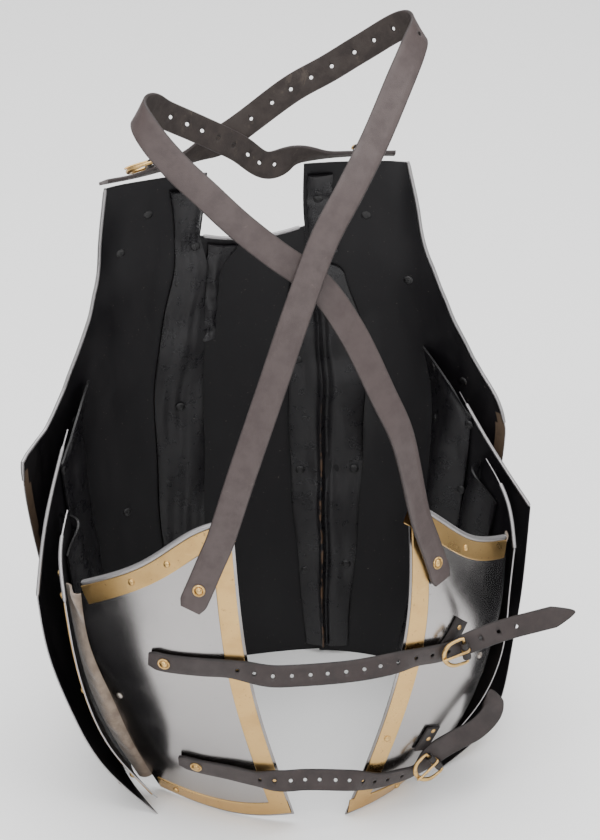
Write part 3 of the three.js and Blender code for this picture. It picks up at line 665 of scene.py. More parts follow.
# --- Brass borders ---
def band_lines(surf, path, lift=0.0):
    """For each place of a path on a surface, how s and t change with a millimetre inwards."""
    path = np.asarray(path, float)
    ds, dt = surf.slopes(path[:, 0], path[:, 1])
    up = unit(np.cross(ds, dt))
    step = np.diff(path, axis=0)
    ahead = unit(ds[:-1] * step[:, :1] + dt[:-1] * step[:, 1:])
    inward = np.cross(up[:-1], ahead)
    one = np.concatenate([inward[:1], inward])
    two = np.concatenate([inward, inward[-1:]])
    meet = 1 + np.maximum(-0.3, np.sum(one * two, axis=1, keepdims=True))
    miter = -(one + two) / meet
    a, b, c = np.sum(ds * ds, 1), np.sum(ds * dt, 1), np.sum(dt * dt, 1)
    p, q = np.sum(miter * ds, 1), np.sum(miter * dt, 1)
    det = a * c - b * b
    steps = np.stack([(p * c - q * b) / det, (q * a - p * b) / det], axis=1)
    return lambda far: path + steps * far


def border_points(surf, path, inset, width, low, high):
    """Rings of a thin flat band with softened edges beside a path."""
    line = band_lines(surf, path)
    soft = 0.5
    section = [(0, low), (0, high - 0.35), (soft, high), (width / 2, high + 0.15), (width - soft, high),
               (width, high - 0.35), (width, low)]
    rings = []
    for far, height in section:
        places = line(inset + far)
        rings.append(surf.lift(places[:, 0], places[:, 1], height))
    return np.stack(rings, axis=1)


def head_marks(surf, path, far, shares, lift):
    """Spots and outward directions on a band's middle line, at shares of the path's length."""
    places = band_lines(surf, path)(far)
    points = surf.lift(places[:, 0], places[:, 1], lift)
    faces = surf.normal(places[:, 0], places[:, 1])
    run = np.concatenate([[0], np.cumsum(np.linalg.norm(np.diff(points, axis=0), axis=1))])
    picks = np.array([np.argmin(abs(run - share * run[-1])) for share in shares])
    return [(points[k], faces[k]) for k in picks]


def line_of(s0, s1, t0, t1, count):
    """Places from one spot of a surface to another, without the last."""
    return list(zip(np.linspace(s0, s1, count, endpoint=False), np.linspace(t0, t1, count, endpoint=False)))


brass_heads = []
BORDER_LOW = STEEL / 2 + 0.05
BORDER_HIGH = BORDER_LOW + BRASS


def brass_border(name, surf, path, inset, width, shares):
    """The brass band beside a plate's edge, with its rivet heads at shares of its length."""
    rings = border_points(surf, path, inset, width, BORDER_LOW - 0.3, BORDER_HIGH)
    rings[..., 2] = np.maximum(rings[..., 2], ORIGIN[2])
    piece = outward(merge(f"{name}_band", [loft_parts(rings)], [BRASS_FINISH], 30))
    settle(piece, "brass_border", name)
    brass_heads.extend(head_marks(surf, path, inset + width / 2, shares, BORDER_HIGH + 0.1))


central_path = (line_of(0, 0, 0, 1, 60) + line_of(0, 1, 1, 1, 60) + line_of(1, 1, 1, 0, 60)
                + line_of(1, 0.14, 0, 0, 50))
CENTRAL_SHARES = (0.02, 0.13, 0.25, 0.38, 0.5, 0.62, 0.74, 0.86, 0.97)
FLANK_SHARES = (0.03, 0.14, 0.4, 0.62, 0.74, 0.95)
brass_border("central_trim", middle, central_path, 3, 14, CENTRAL_SHARES)
BACK_SHARES = {LEFT: (0.085, 0.15, 0.72, 0.97), RIGHT: (0.11, 0.7, 0.97)}
for side, word in SIDES.items():
    limit = arm_limit(side)
    down = np.linspace(1, 0, 120, endpoint=False)
    arm = list(zip(limit(down), down))
    top = float(limit(1.0))
    flank_path = line_of(0.02, top, 1, 1, 30) + arm + line_of(float(limit(0.0)), 0.05, 0, 0, 40)
    brass_border(f"flank_trim_{word}", flank[side], flank_path, 3, BAND - 4, FLANK_SHARES)
    side_path = line_of(1 / 8, 1, 1, 1, 40) + line_of(1, 1, 1, 1 / 12, 60)
    brass_border(f"side_trim_{word}", side_plate[side], side_path, 3, 10, (0.12, 0.4, 0.66, 0.95))
    narrow_path = line_of(0.5, 1, 1, 1, 20) + line_of(1, 1, 1, 0, 60)
    brass_border(f"narrow_trim_{word}", narrow[side], narrow_path, 2.6, 9, (0.06, 0.14, 0.5, 0.9))
    back_path = line_of(0, 1, 1, 1, 60) + line_of(1, 1, 1, 0, 60) + line_of(1, 0, 0, 0, 60)
    brass_border(f"back_trim_{word}", back[side], back_path, 2.6, BAND - 1, BACK_SHARES[side])


# --- Straps ---
VIEW_RIGHT = np.array([0.978, -0.208, 0])
VIEW_UP = np.array([0.104, 0.489, 0.866])
VIEW_BACK = np.array([-0.18, -0.847, 0.5])
OVER = STEEL / 2 + 0.45 + 0.8 + 0.3 + 0.45 + STRAP / 2


def on_plate(surf, places, lift=OVER):
    """Route points on a plate: spot and outward direction."""
    points = []
    for s, t, *more in places:
        height = lift + (more[0] if more else 0)
        points.append(np.concatenate([surf.lift(s, t, height), surf.normal(s, t)]))
    return points


def in_air(places, fold_to=0.0):
    """Route points in the air, [x, y, z, turn]: the face turns from the back over the fold to the front."""
    fold = VIEW_RIGHT * math.cos(fold_to) + VIEW_UP * math.sin(fold_to)
    points = []
    for x, y, z, *turn in places:
        a = math.radians(turn[0] if turn else 0)
        points.append(np.concatenate([[x, y, z], VIEW_BACK * math.cos(a) + fold * math.sin(a)]))
    return points


def smooth_route(points, count):
    """Evenly spaced stations on a smooth line through the route points."""
    points = np.array(points)
    points = np.concatenate([[2 * points[0] - points[1]], points, [2 * points[-1] - points[-2]]])
    dense = []
    for k in range(len(points) - 3):
        p = points[k:k + 4]
        gaps = np.linalg.norm(np.diff(p[:, :3], axis=0), axis=1) ** 0.5
        knot = np.concatenate([[0], np.cumsum(gaps)])
        u = np.linspace(knot[1], knot[2], 40, endpoint=False)[:, None]

        def mix(a, b, i, j):
            return (a * (knot[j] - u) + b * (u - knot[i])) / (knot[j] - knot[i])
        a1, a2, a3 = mix(p[0], p[1], 0, 1), mix(p[1], p[2], 1, 2), mix(p[2], p[3], 2, 3)
        b1, b2 = mix(a1, a2, 0, 2), mix(a2, a3, 1, 3)
        dense.append(mix(b1, b2, 1, 2))
    dense = np.concatenate(dense + [points[-2:-1]])
    run = np.concatenate([[0], np.cumsum(np.linalg.norm(np.diff(dense[:, :3], axis=0), axis=1))])
    share = np.linspace(0, run[-1], count)
    even = np.stack([np.interp(share, run, dense[:, k]) for k in range(6)], axis=1)
    kernel = np.ones(5) / 5
    for k in range(6):
        even[2:-2, k] = np.convolve(even[:, k], kernel, "valid")
    return even[:, :3], even[:, 3:]


STRAP_SIDES = 16


def strap_section(width, thick):
    """Outline of a strap with rounded edges: across and out, with the distance from the edge."""
    half, depth, soft = width / 2, thick / 2, 0.9
    top = [(-half + soft, depth), (-half / 2, depth), (0, depth), (half / 2, depth), (half - soft, depth)]
    right = [(half - 0.25, depth * 0.75), (half, 0), (half - 0.25, -depth * 0.75)]
    low = [(-x, -y) for x, y in top]
    left = [(-x, -y) for x, y in right]
    return np.array(top + right + low + left)


def strap_mesh(name, points, face, width, finishes, tip=None, start_cut=0.0):
    """A strap of leather with a grain side and a flesh side; tip narrows the end to a point."""
    along, across, out = line_frames(points, face)
    section = strap_section(width, STRAP)
    run = np.concatenate([[0], np.cumsum(np.linalg.norm(np.diff(points, axis=0), axis=1))])
    size = np.ones(len(points))
    if tip:
        size = np.minimum(1, 0.1 + 0.9 * np.clip((run[-1] - run) / tip, 0, 1) ** 0.75)
    size = np.minimum(size, 1 - start_cut * np.clip(1 - run / 7, 0, 1))
    rings = (points[:, None] + across[:, None] * (section[None, :, :1] * size[:, None, None])
             + out[:, None] * section[None, :, 1:])
    spots, faces = loft_parts(rings)
    edge = (width / 2 - np.abs(section[:, 0]))[None, :] * size[:, None]
    kinds = []
    for number in range(len(faces)):
        kinds.append(1 if number < len(faces) - 2 and 8 <= number % STRAP_SIDES < 12 else 0)
    piece = make_piece(name, spots, faces, finishes, kinds, 50, {"edge": edge})
    return outward(piece)


def hole_marks(points, face, first, last, count):
    """Spots of evenly spaced holes between two shares of a strap's length."""
    picks = np.round(np.linspace(first, last, count) * (len(points) - 1)).astype(int)
    return [(points[k], face[k]) for k in picks]


def marks_mesh(name, marks):
    """Loose points that carry an outward direction, for instances."""
    mesh = bpy.data.meshes.new(name)
    mesh.from_pydata([tuple(place(spot)) for spot, _ in marks], [], [])
    layer = mesh.attributes.new("out", "FLOAT_VECTOR", "POINT")
    faces = np.array([unit(np.array(face)) for _, face in marks], np.float32)
    layer.data.foreach_set("vector", faces.ravel())
    piece = bpy.data.objects.new(name, mesh)
    bpy.context.scene.collection.objects.link(piece)
    return piece


class NodeTree:
    """A Geometry Nodes tree with named inputs."""

    def __init__(self, name, inputs):
        self.tree = bpy.data.node_groups.new(name, "GeometryNodeTree")
        face = self.tree.interface
        face.new_socket("Geometry", in_out="INPUT", socket_type="NodeSocketGeometry")
        face.new_socket("Geometry", in_out="OUTPUT", socket_type="NodeSocketGeometry")
        self.keys = {}
        for key, kind in inputs.items():
            self.keys[key] = face.new_socket(key, in_out="INPUT", socket_type=kind).identifier
        self.entry = self.tree.nodes.new("NodeGroupInput")
        self.exit = self.tree.nodes.new("NodeGroupOutput")

    def add(self, kind, **settings):
        node = self.tree.nodes.new(kind)
        for key, value in settings.items():
            setattr(node, key, value)
        return node

    def link(self, source, target):
        self.tree.links.new(source, target)

    def instances(self):
        """Turned instances of the Head object on the entry's points."""
        out = self.add("GeometryNodeInputNamedAttribute", data_type="FLOAT_VECTOR")
        out.inputs["Name"].default_value = "out"
        turn = self.add("FunctionNodeAlignRotationToVector", axis="Z")
        self.link(out.outputs["Attribute"], turn.inputs["Vector"])
        head = self.add("GeometryNodeObjectInfo")
        self.link(self.entry.outputs["Head"], head.inputs["Object"])
        spread = self.add("GeometryNodeInstanceOnPoints")
        self.link(head.outputs["Geometry"], spread.inputs["Instance"])
        self.link(turn.outputs["Rotation"], spread.inputs["Rotation"])
        real = self.add("GeometryNodeRealizeInstances")
        self.link(spread.outputs["Instances"], real.inputs["Geometry"])
        return spread, real

    def close(self, geometry, selection=None):
        finish = self.add("GeometryNodeSetMaterial")
        self.link(geometry, finish.inputs["Geometry"])
        self.link(self.entry.outputs["Finish"], finish.inputs["Material"])
        if selection is not None:
            self.link(selection, finish.inputs["Selection"])
        self.link(finish.outputs["Geometry"], self.exit.inputs["Geometry"])


def heads_tree():
    """Rivet heads on points."""
    nodes = NodeTree("rivet heads", {"Head": "NodeSocketObject", "Finish": "NodeSocketMaterial"})
    spread, real = nodes.instances()
    nodes.link(nodes.entry.outputs["Geometry"], spread.inputs["Points"])
    nodes.close(real.outputs["Geometry"])
    return nodes


def holes_tree():
    """Punched holes through a strap, with the cut faces in the flesh finish."""
    nodes = NodeTree("punched holes", {"Marks": "NodeSocketObject", "Head": "NodeSocketObject",
                                       "Finish": "NodeSocketMaterial"})
    spread, real = nodes.instances()
    marks = nodes.add("GeometryNodeObjectInfo")
    nodes.link(nodes.entry.outputs["Marks"], marks.inputs["Object"])
    nodes.link(marks.outputs["Geometry"], spread.inputs["Points"])
    cut = nodes.add("GeometryNodeMeshBoolean", operation="DIFFERENCE", solver="EXACT")
    nodes.link(nodes.entry.outputs["Geometry"], cut.inputs["Mesh 1"])
    nodes.link(real.outputs["Geometry"], cut.inputs["Mesh 2"])
    no_face = nodes.add("FunctionNodeInputBool", boolean=False)
    nodes.close(cut.outputs["Mesh"], no_face.outputs[0])
    return nodes


HEADS = heads_tree()
HOLES = holes_tree()


def bake(piece, nodes, **inputs):
    """Runs a node tree on a piece and keeps the result as its plain mesh."""
    modifier = piece.modifiers.new("shape", "NODES")
    modifier.node_group = nodes.tree
    for key, value in inputs.items():
        modifier[nodes.keys[key]] = value
    bpy.context.view_layer.update()
    seen = piece.evaluated_get(bpy.context.evaluated_depsgraph_get())
    mesh = bpy.data.meshes.new_from_object(seen)
    piece.modifiers.clear()
    piece.data = mesh
    return piece


def turned(name, profile, sides=20):
    """A head turned about +Z from its half section [radius, height], in metres about the origin."""
    angle = np.linspace(0, 2 * math.pi, sides, endpoint=False)
    ring = np.stack([np.cos(angle), np.sin(angle)], axis=1)
    points, faces = [], []
    for radius, height in profile:
        points += [(radius * x / 1000, radius * y / 1000, height / 1000) for x, y in ring]
    for k in range(len(profile) - 1):
        for i in range(sides):
            j = (i + 1) % sides
            faces.append((k * sides + i, k * sides + j, (k + 1) * sides + j, (k + 1) * sides + i))
    faces.append(tuple(range(sides))[::-1])
    faces.append(tuple(range((len(profile) - 1) * sides, len(profile) * sides)))
    mesh = bpy.data.meshes.new(name)
    mesh.from_pydata(points, [], faces)
    mesh.shade_smooth()
    mesh.set_sharp_from_angle(angle=math.radians(35))
    piece = bpy.data.objects.new(name, mesh)
    bpy.context.scene.collection.objects.link(piece)
    return piece


def dome(radius, rise, base=-0.6, steps=5):
    """Half section of a domed head."""
    turn = np.linspace(0, math.pi / 2 * 0.93, steps)
    return [(radius, base), (radius, 0.15)] + [
        (radius * 0.96 * math.cos(a), 0.15 + rise * math.sin(a)) for a in turn]


PUNCH = turned("punch", [(1.8, -6), (1.8, 6)], 14)
PUNCH.data.materials.append(FLESH_FINISH)
BRASS_HEAD = turned("brass_head", dome(3.3, 1.9))
WASHER = [(5.8, -1.4), (5.8, 0.5), (5.4, 0.95), (4.3, 0.8)]
STRAP_HEAD = turned("strap_head", WASHER + dome(3.9, 2.6, 1.0)[1:], 24)
FLAT_HEAD = turned("flat_head", [(4.6, -0.8), (4.6, 0.2), (4.0, 0.8), (2.4, 1.15)], 16)
SMALL_HEAD = turned("small_head", dome(2.6, 1.3), 14)


def heads(name, marks, head, finish, slot, *nodes):
    """Heads of rivets at the marks, as one piece."""
    piece = bake(marks_mesh(name, marks), HEADS, Head=head, Finish=finish)
    return settle(piece, slot, *nodes)


CROSS = {
    LEFT: {
        "start": (back, LEFT, [[0.72, 0.823], [0.779, 0.861], [0.859, 0.916], [0.915, 0.955, 1]]),
        "air": [
            [-67, -154, 392], [-35, -145, 481], [-12, -132, 538], [15, -112, 592], [42, -90, 625],
            [70, -60, 655], [98, -26, 689, 10], [117, 0, 710, 45], [127, 20, 720, 90], [120, 42, 716, 140],
            [87, 62, 689, 170], [58, 73, 667, 175], [29, 82, 648, 175], [-28, 98, 600, 172]],
        "end": [[-58, 104, 582, 0, 0.8, 0.6], [-86, 107, 571, 0, 0.6, 0.8], [-114, 105, 565, 0, 0.5, 0.86],
                [-142, 98, 565, 0, 0.5, 0.86]],
        "fold_to": 0.66, "holes": (0.615, 0.86, 11), "buckle": 0.955, "over": 2,
    },
    RIGHT: {
        "start": (back, RIGHT, [[0.77, 0.835], [0.815, 0.877], [0.883, 0.922, 1.5], [0.955, 0.965, 3.5]]),
        "air": [
            [75, -150, 418, -55], [61, -144, 452, -38], [34, -130, 514, -18], [9, -116, 552],
            [-24, -103, 577], [-54, -90, 602], [-79, -72, 625], [-97, -54, 640, 15], [-117, -28, 662, 45],
            [-123, -6, 675, 90], [-109, 12, 671, 140], [-97, 25, 658, 165], [-63, 48, 631, 175],
            [-26, 66, 603, 175], [8, 90, 571, 170]],
        "end": [[36, 102, 573, 0, 0.85, 0.3], [62, 111, 567, 0, 0.6, 0.8], [92, 113, 565, 0, 0.5, 0.86],
                [130, 106, 565, 0, 0.5, 0.86]],
        "fold_to": 2.5, "holes": (0.69, 0.86, 8), "buckle": 0.965, "over": 0,
    },
}
BACK_STRAPS = {
    "upper": {
        "start": [[0.43, 0.716], [0.519, 0.69], [0.716, 0.642], [0.9, 0.588, 1]],
        "air": [[-45, -167, 193], [-26, -168, 191], [28, -168, 188], [62, -164, 187]],
        "end": ([[0.9, 0.597], [0.78, 0.62], [0.668, 0.64]], OVER + 2),
        "tail": [[150, -151, 193], [172, -153, 201], [205, -165, 216], [234, -175, 228]],
        "holes": (0.2, 0.86, 17), "buckle": 0.715, "over": 3.6, "tip": 20,
    },
    "lower": {
        "start": [[0.37, 0.25], [0.482, 0.233], [0.688, 0.21, 1], [0.85, 0.178, 2.5]],
        "air": [[-32, -155, 64], [-10, -155, 62], [31, -157, 56]],
        "end": ([[0.88, 0.155], [0.72, 0.165, 0.5], [0.55, 0.185, 2.5]], OVER + 3.5),
        "tail": [[121, -134, 58], [140, -131, 66], [164, -122, 70], [183, -106, 78], [184, -92, 90]],
        "holes": (0.22, 0.66, 12), "buckle": 0.7, "over": 4.6, "tip": 12,
    },
}
paths = {}
for side, word in SIDES.items():
    plan = CROSS[side]
    surfaces, which, places = plan["start"]
    route = on_plate(surfaces[which], places) + in_air(plan["air"], plan["fold_to"])
    ends = [np.concatenate([spot[:3], unit(np.array(spot[3:]))]) for spot in np.array(plan["end"], float)]
    points, face = smooth_route(route + ends, 300)
    paths[f"cross_{word}"] = (points, face, CROSS_WIDTH, plan["buckle"], plan["over"])
    strap = strap_mesh(f"cross_strap_leather_{word}", points, face, CROSS_WIDTH, [GRAIN_FINISH, FLESH_FINISH],
                       start_cut=0.25)
    marks = marks_mesh(f"marks_{word}", hole_marks(points, face, *plan["holes"]))
    bake(strap, HOLES, Marks=marks, Head=PUNCH, Finish=FLESH_FINISH)
    settle(strap, "strap_leather", f"cross_strap_{word}")
    bpy.data.objects.remove(marks)
for word, plan in BACK_STRAPS.items():
    places, lift = plan["end"]
    route = (on_plate(back[LEFT], plan["start"]) + in_air(plan["air"])
             + on_plate(back[RIGHT], places, lift) + in_air(plan["tail"]))
    points, face = smooth_route(route, 260)
    paths[f"back_{word}"] = (points, face, BACK_WIDTH, plan["buckle"], plan["over"])
    strap = strap_mesh(f"back_strap_leather_{word}", points, face, BACK_WIDTH, [DARK_STRAP, FLESH_FINISH],
                       tip=plan["tip"], start_cut=0.3)
    marks = marks_mesh(f"marks_{word}", hole_marks(points, face, *plan["holes"]))
    bake(strap, HOLES, Marks=marks, Head=PUNCH, Finish=FLESH_FINISH)
    settle(strap, "strap_leather", f"back_strap_{word}")
    bpy.data.objects.remove(marks)


# --- Rivets ---
def spot_on(surf, s, t, lift):
    """A spot over a surface and its outward direction."""
    return surf.lift(s, t, lift), surf.normal(s, t)


STRAP_HEADS = {
    "cross_strap_left": (back[LEFT], 0.779, 0.861), "cross_strap_right": (back[RIGHT], 0.815, 0.877),
    "back_strap_upper": (back[LEFT], 0.519, 0.69), "back_strap_lower": (back[LEFT], 0.482, 0.233)}
for word, (surf, s, t) in STRAP_HEADS.items():
    heads(f"washer_rivet_{word}", [spot_on(surf, s, t, OVER + STRAP / 2 + 0.2)], STRAP_HEAD, CAST_FINISH,
          "brass_hardware", f"rivet_{word}")
PLATE_HEADS = {"left": (back[LEFT], 0.08, 0.512), "right": (back[RIGHT], 0.264, 0.589)}
for word, (surf, s, t) in PLATE_HEADS.items():
    heads(f"steel_rivet_{word}", [spot_on(surf, s, t, STEEL / 2)], BRASS_HEAD, RIVET_STEEL,
          "brass_hardware", f"rivet_back_plate_{word}")
heads("border_rivets", brass_heads, BRASS_HEAD, CAST_FINISH, "brass_hardware")


# --- Buckles ---
def buckle(word, points, face, width, at, over):
    """A cast D with a swelling front bar, its tongue and the leather fold round the rear bar."""
    k = round(at * (len(points) - 1))
    along, across, out = (part[k] for part in line_frames(points, face))
    if word.startswith("back"):
        along = -along
    rise = STRAP / 2 + 2.25 + over
    half = width / 2 + 3.2

    def spot(a, b, h=0.0):
        return points[k] + along * a + across * b + out * (rise + h)

    bar = [(-7, b) for b in np.linspace(-half, half, 9)[:-1]]
    corner = [(-7, half), (-4, half + 0.5), (0, half + 0.3)]
    turn = np.linspace(math.pi / 2, -math.pi / 2, 25)
    bow = [(2 + 12 * math.cos(a), half * math.sin(a)) for a in turn]
    outline = bar + corner + bow + [(0, -half - 0.3), (-4, -half - 0.5)]
    line = np.array([spot(a, b) for a, b in outline])
    radius = [1.5 + 0.75 * max(0, a - 2) / 12 for a, _ in outline]
    frame_part = loft_parts(tube(line, np.tile(out, (len(line), 1)), radius, 12, closed=True), closed=True)
    tongue_line = [(-10.4, 0.2), (-9.9, 1.9), (-8.4, 3.2), (-6, 3.4), (2, 3.7), (10, 3.8), (14, 3.6),
                   (16.5, 3.1)]
    fine = np.array([spot(a, 0, h) for a, h in tongue_line])
    share = np.linspace(0, len(fine) - 1, 36)
    fine = np.stack([np.interp(share, range(len(fine)), fine[:, c]) for c in range(3)], axis=1)
    taper = np.interp(np.linspace(0, 1, 36), [0, 0.15, 0.8, 1], [1.2, 1.5, 1.15, 0.8])
    tongue_part = loft_parts(tube(fine, np.tile(across, (36, 1)), taper, 10))
    turn = np.linspace(0.35, 2 * math.pi - 0.35, 24)
    curl = np.array([spot(-7 + 2.9 * math.cos(a + math.pi), 0, 2.9 * math.sin(a)) for a in turn])
    knuckle = loft_parts(tube(curl, np.tile(across, (24, 1)), 1.2, 8))
    body = outward(merge(f"buckle_cast_{word}", [frame_part], [CAST_FINISH]))
    settle(body, "brass_hardware", f"buckle_{word}")
    pin = outward(merge(f"tongue_cast_{word}", [tongue_part, knuckle], [CAST_FINISH]))
    settle(pin, "brass_hardware", f"tongue_{word}")
    for part in (-1, 1):
        middle_at = part * (width / 4 + 0.6)
        wrap = np.array([spot(-7 + 3.1 * math.cos(a + math.pi), middle_at, 3.1 * math.sin(a)) for a in turn])
        half_width = width / 4 - 1.6
        section = np.array([(-half_width, -0.8), (half_width, -0.8), (half_width, 0.8), (-half_width, 0.8)])
        radial = unit(wrap - spot(-7, middle_at))
        rings = wrap[:, None] + across * section[None, :, :1] + radial[:, None] * section[None, :, 1:]
        piece = outward(merge(f"buckle_fold_{word}_{'near' if part < 0 else 'far'}", [loft_parts(rings)],
                              [DARK_STRAP], 50))
        settle(piece, "strap_leather")


for word, (points, face, width, at, over) in paths.items():
    buckle(word, points, face, width, at, over)

TABS = {
    "upper": [[0.7, 0.63], [0.66, 0.66], [0.58, 0.74]],
    "lower": [[0.56, 0.25], [0.555, 0.29], [0.545, 0.34]],
}
TAB_RIVETS = {"upper": (16,), "lower": (11, 17)}
for word, path in TABS.items():
    fine = np.array(path)
    share = np.linspace(0, 2, 20)
    fine = np.stack([np.interp(share, range(3), fine[:, k]) for k in (0, 1)], axis=1)
    rings = border_points(back[RIGHT], fine, -8.5, 17, STEEL / 2 + BRASS + 0.1, STEEL / 2 + BRASS + 2.4)
    tab = outward(merge(f"buckle_tab_{word}", [loft_parts(rings)], [DARK_STRAP], 50))
    settle(tab, "strap_leather", f"tab_{word}")
    spots = [spot_on(back[RIGHT], *fine[k], STEEL / 2 + BRASS + 2.3) for k in TAB_RIVETS[word]]
    heads(f"tab_rivets_{word}", spots, SMALL_HEAD, CAST_FINISH, "brass_hardware")


# --- Joining leather ---
LINING = -(STEEL / 2 + 0.45)
inside_heads = []


def puckers(s, t, seed, rivets, depth, ridge=None):
    """How far a riveted strip stands off between the heights of its rivets: swells, pulls and a ridge."""
    spin = np.random.default_rng(seed)
    gap = np.min([np.abs(t - height) for height in rivets], axis=0)
    crown = np.sin(math.pi * np.clip(s, 0, 1)) ** 0.8
    total = (1 - np.exp(-(gap / 0.05) ** 2)) * crown
    pull = np.exp(-(gap / 0.07) ** 2)
    total = total + 0.22 * pull * crown * np.sin(11 * s + 9 * t + seed) ** 2
    for _ in range(6):
        a, b = spin.uniform(2, 7), spin.uniform(5, 22)
        total = total + 0.14 * np.sin(a * s + b * t + spin.uniform(0, 6.28)) * crown
    if ridge is not None:
        crest = 0.75 * np.exp(-((s - ridge) / 0.035) ** 2)
        total = total + crest - 0.6 * np.exp(-((s - ridge - 0.08) / 0.05) ** 2)
    return depth * total


def lining(name, node, surf, t0, t1, low, high, rivets, depth, seed, round_top=False, ridge=None,
           across=36, up=220):
    """A puckered strip of leather on the inside of a plate, between two limits in s."""
    v = np.linspace(0, 1, up)[None, :]
    u = np.linspace(0, 1, across)[:, None]
    t = t0 + (t1 - t0) * v
    first, last = smooth_value(low, t), smooth_value(high, t)
    if round_top:
        shrink = 1 - np.sqrt(np.clip(1 - np.clip((v - 0.955) / 0.045, 0, 1) ** 2, 0.02, 1))
        middle_s = (first + last) / 2
        first, last = first + (middle_s - first) * shrink, last + (middle_s - last) * shrink
    wobble = 0.004 * np.sin(v * 31 + seed)
    s = first + wobble + (last - first) * u
    t = np.broadcast_to(t, s.shape)
    shares = [(height - t0) / (t1 - t0) for height in rivets]
    rise = puckers(u, v, seed, shares, depth, ridge)
    crest = np.exp(-((u - (ridge or 9)) / 0.03) ** 2) * np.clip(1.3 - 1.5 * v, 0, 1)
    inner = surf.lift(s, t, LINING - HIDE - rise)
    outer = surf.lift(s, t, LINING + 0.3 - rise * 0.85)
    edge = np.minimum(u, 1 - u) * np.ones_like(v) * 40
    wear = {"edge": edge, "crest": crest}
    piece = outward(shell(name, outer, inner, [LINING_FINISH], wear, smooth_angle=60))
    settle(piece, "joining_leather", node)


def inside_marks(surf, places, lift=LINING - HIDE - 0.3):
    """Adds places for heads on the inside of a plate."""
    for s, t in places:
        inside_heads.append((surf.lift(s, t, lift), -surf.normal(s, t)))


lining("front_lining_left", "joint_strip_front_left", flank[LEFT], 0.03, 0.96,
       [[0, -0.1], [0.7, -0.08], [0.85, 0.02], [1, 0.03]], [[0, 0.16], [0.7, 0.16], [1, 0.3]],
       (0.22, 0.4, 0.58, 0.78), 4.2, 1)
lining("front_lining_right", "joint_strip_front_right", flank[RIGHT], 0.01, 0.7,
       [[0, -0.1], [0.3, -0.14], [0.55, -0.14], [0.7, -0.1]], [[0, 0.22], [0.55, 0.25], [0.7, 0.22]],
       (0.12, 0.28, 0.46), 5, 2, round_top=True, ridge=0.42, across=60)
lining("shoulder_lining_right", "shoulder_strip_right", flank[RIGHT], 0.73, 0.97,
       [[0, 0.03], [1, 0.03]], [[0, 0.2], [1, 0.22]], (0.9,), 2, 3, up=60)
lining("neck_lining", "neck_strip", middle, 0.72, 0.985,
       [[0, 0.13], [1, 0.13]], [[0, 0.24], [0.9, 0.25], [1, 0.42]], (0.74,), 3, 4, up=90)
inside_marks(flank[LEFT], [(0.03, 0.78), (0.03, 0.58), (0.03, 0.4), (0.03, 0.22), (0.1, 0.86), (0.11, 0.68)])
inside_marks(flank[RIGHT], [(0.2, 0.46), (-0.09, 0.46), (0.2, 0.28), (-0.09, 0.28), (0.18, 0.12),
                            (-0.08, 0.11), (0.06, 0.63), (0.11, 0.9)])
inside_marks(flank[LEFT], [(0.349, 0.255), (0.597, 0.428), (0.42, 0.9), (0.6, 0.8), (0.7, 0.34)], -STEEL / 2)
inside_marks(flank[RIGHT], [(0.721, 0.442), (0.45, 0.84), (0.62, 0.66), (0.5, 0.3), (0.85, 0.3)], -STEEL / 2)


def bridge(name, node, outer, inner, rows, deep, seed, heads_at=()):
    """Leather from the inside of one plate over the next one's front edge to its inside."""
    net = [[outer.lift(s0, t0, LINING - HIDE), inner.lift(-0.08, t1, -6), inner.lift(deep / 2, t1, -5),
            inner.lift(deep, t1, LINING - HIDE)] for s0, t0, t1 in rows]
    surf = Surface(net, LEFT)
    u = np.linspace(0, 1, 30)[:, None]
    v = np.linspace(0, 1, 110)[None, :]
    s, t = np.broadcast_to(u, (30, 110)), np.broadcast_to(v, (30, 110))
    calm = np.minimum(1, 12 * np.minimum(u, 1 - u))
    rise = (puckers(u, v, seed, (0.2, 0.45, 0.7, 0.95), 1.6) - 0.6) * calm
    edge = np.minimum(v, 1 - v) * np.ones_like(u) * 60 + 0.2
    piece = outward(shell(name, surf.lift(s, t, HIDE / 2 + rise), surf.lift(s, t, -HIDE / 2 + rise),
                          [LINING_FINISH], {"edge": edge}, smooth_angle=60))
    settle(piece, "joining_leather", node)
    sign = 1 if np.sum(surf.normal(0.2, 0.5) * -outer.normal(0.6, 0.3)) > 0 else -1
    for a, b in heads_at:
        inside_heads.append((surf.lift(a, b, sign * (HIDE / 2)), sign * surf.normal(a, b)))


def flesh_fold(name, node, side, outer, inner, rows, seed):
    """Crumpled suede between the narrow and the back plate."""
    net = []
    for t0, t1, puff in rows:
        a, c = outer.lift(0.7, t0, -3.6), inner.lift(0.01, t1, -7.2)
        b = a + (c - a) * 0.55 + np.array([side * puff * 0.4, -puff, 0])
        net.append([a, b, c, inner.lift(0.15, t1, -5.2)])
    surf = Surface(net, LEFT)
    u = np.linspace(0, 1, 48)[:, None]
    v = np.linspace(0, 1, 150)[None, :]
    s, t = np.broadcast_to(u, (48, 150)), np.broadcast_to(v, (48, 150))
    calm = np.minimum(1, 8 * np.minimum(u, 1 - u))
    spin = np.random.default_rng(seed)
    rise = np.zeros_like(s)
    for _ in range(9):
        a, b, c = spin.uniform(3, 12), spin.uniform(4, 20), spin.uniform(0, 6.28)
        rise = rise + np.sin(a * u + b * v + c + 0.8 * np.sin(2 * b * v))
    crumple = 1 + 1.6 * np.clip((v - 0.85) / 0.15, 0, 1)
    rise = rise * calm * crumple * 0.45
    edge = np.full_like(s, 9.0)
    piece = outward(shell(name, surf.lift(s, t, HIDE / 2 + rise), surf.lift(s, t, -HIDE / 2 + rise),
                          [SUEDE_FINISH], {"edge": edge}, smooth_angle=70))
    settle(piece, "suede", node)


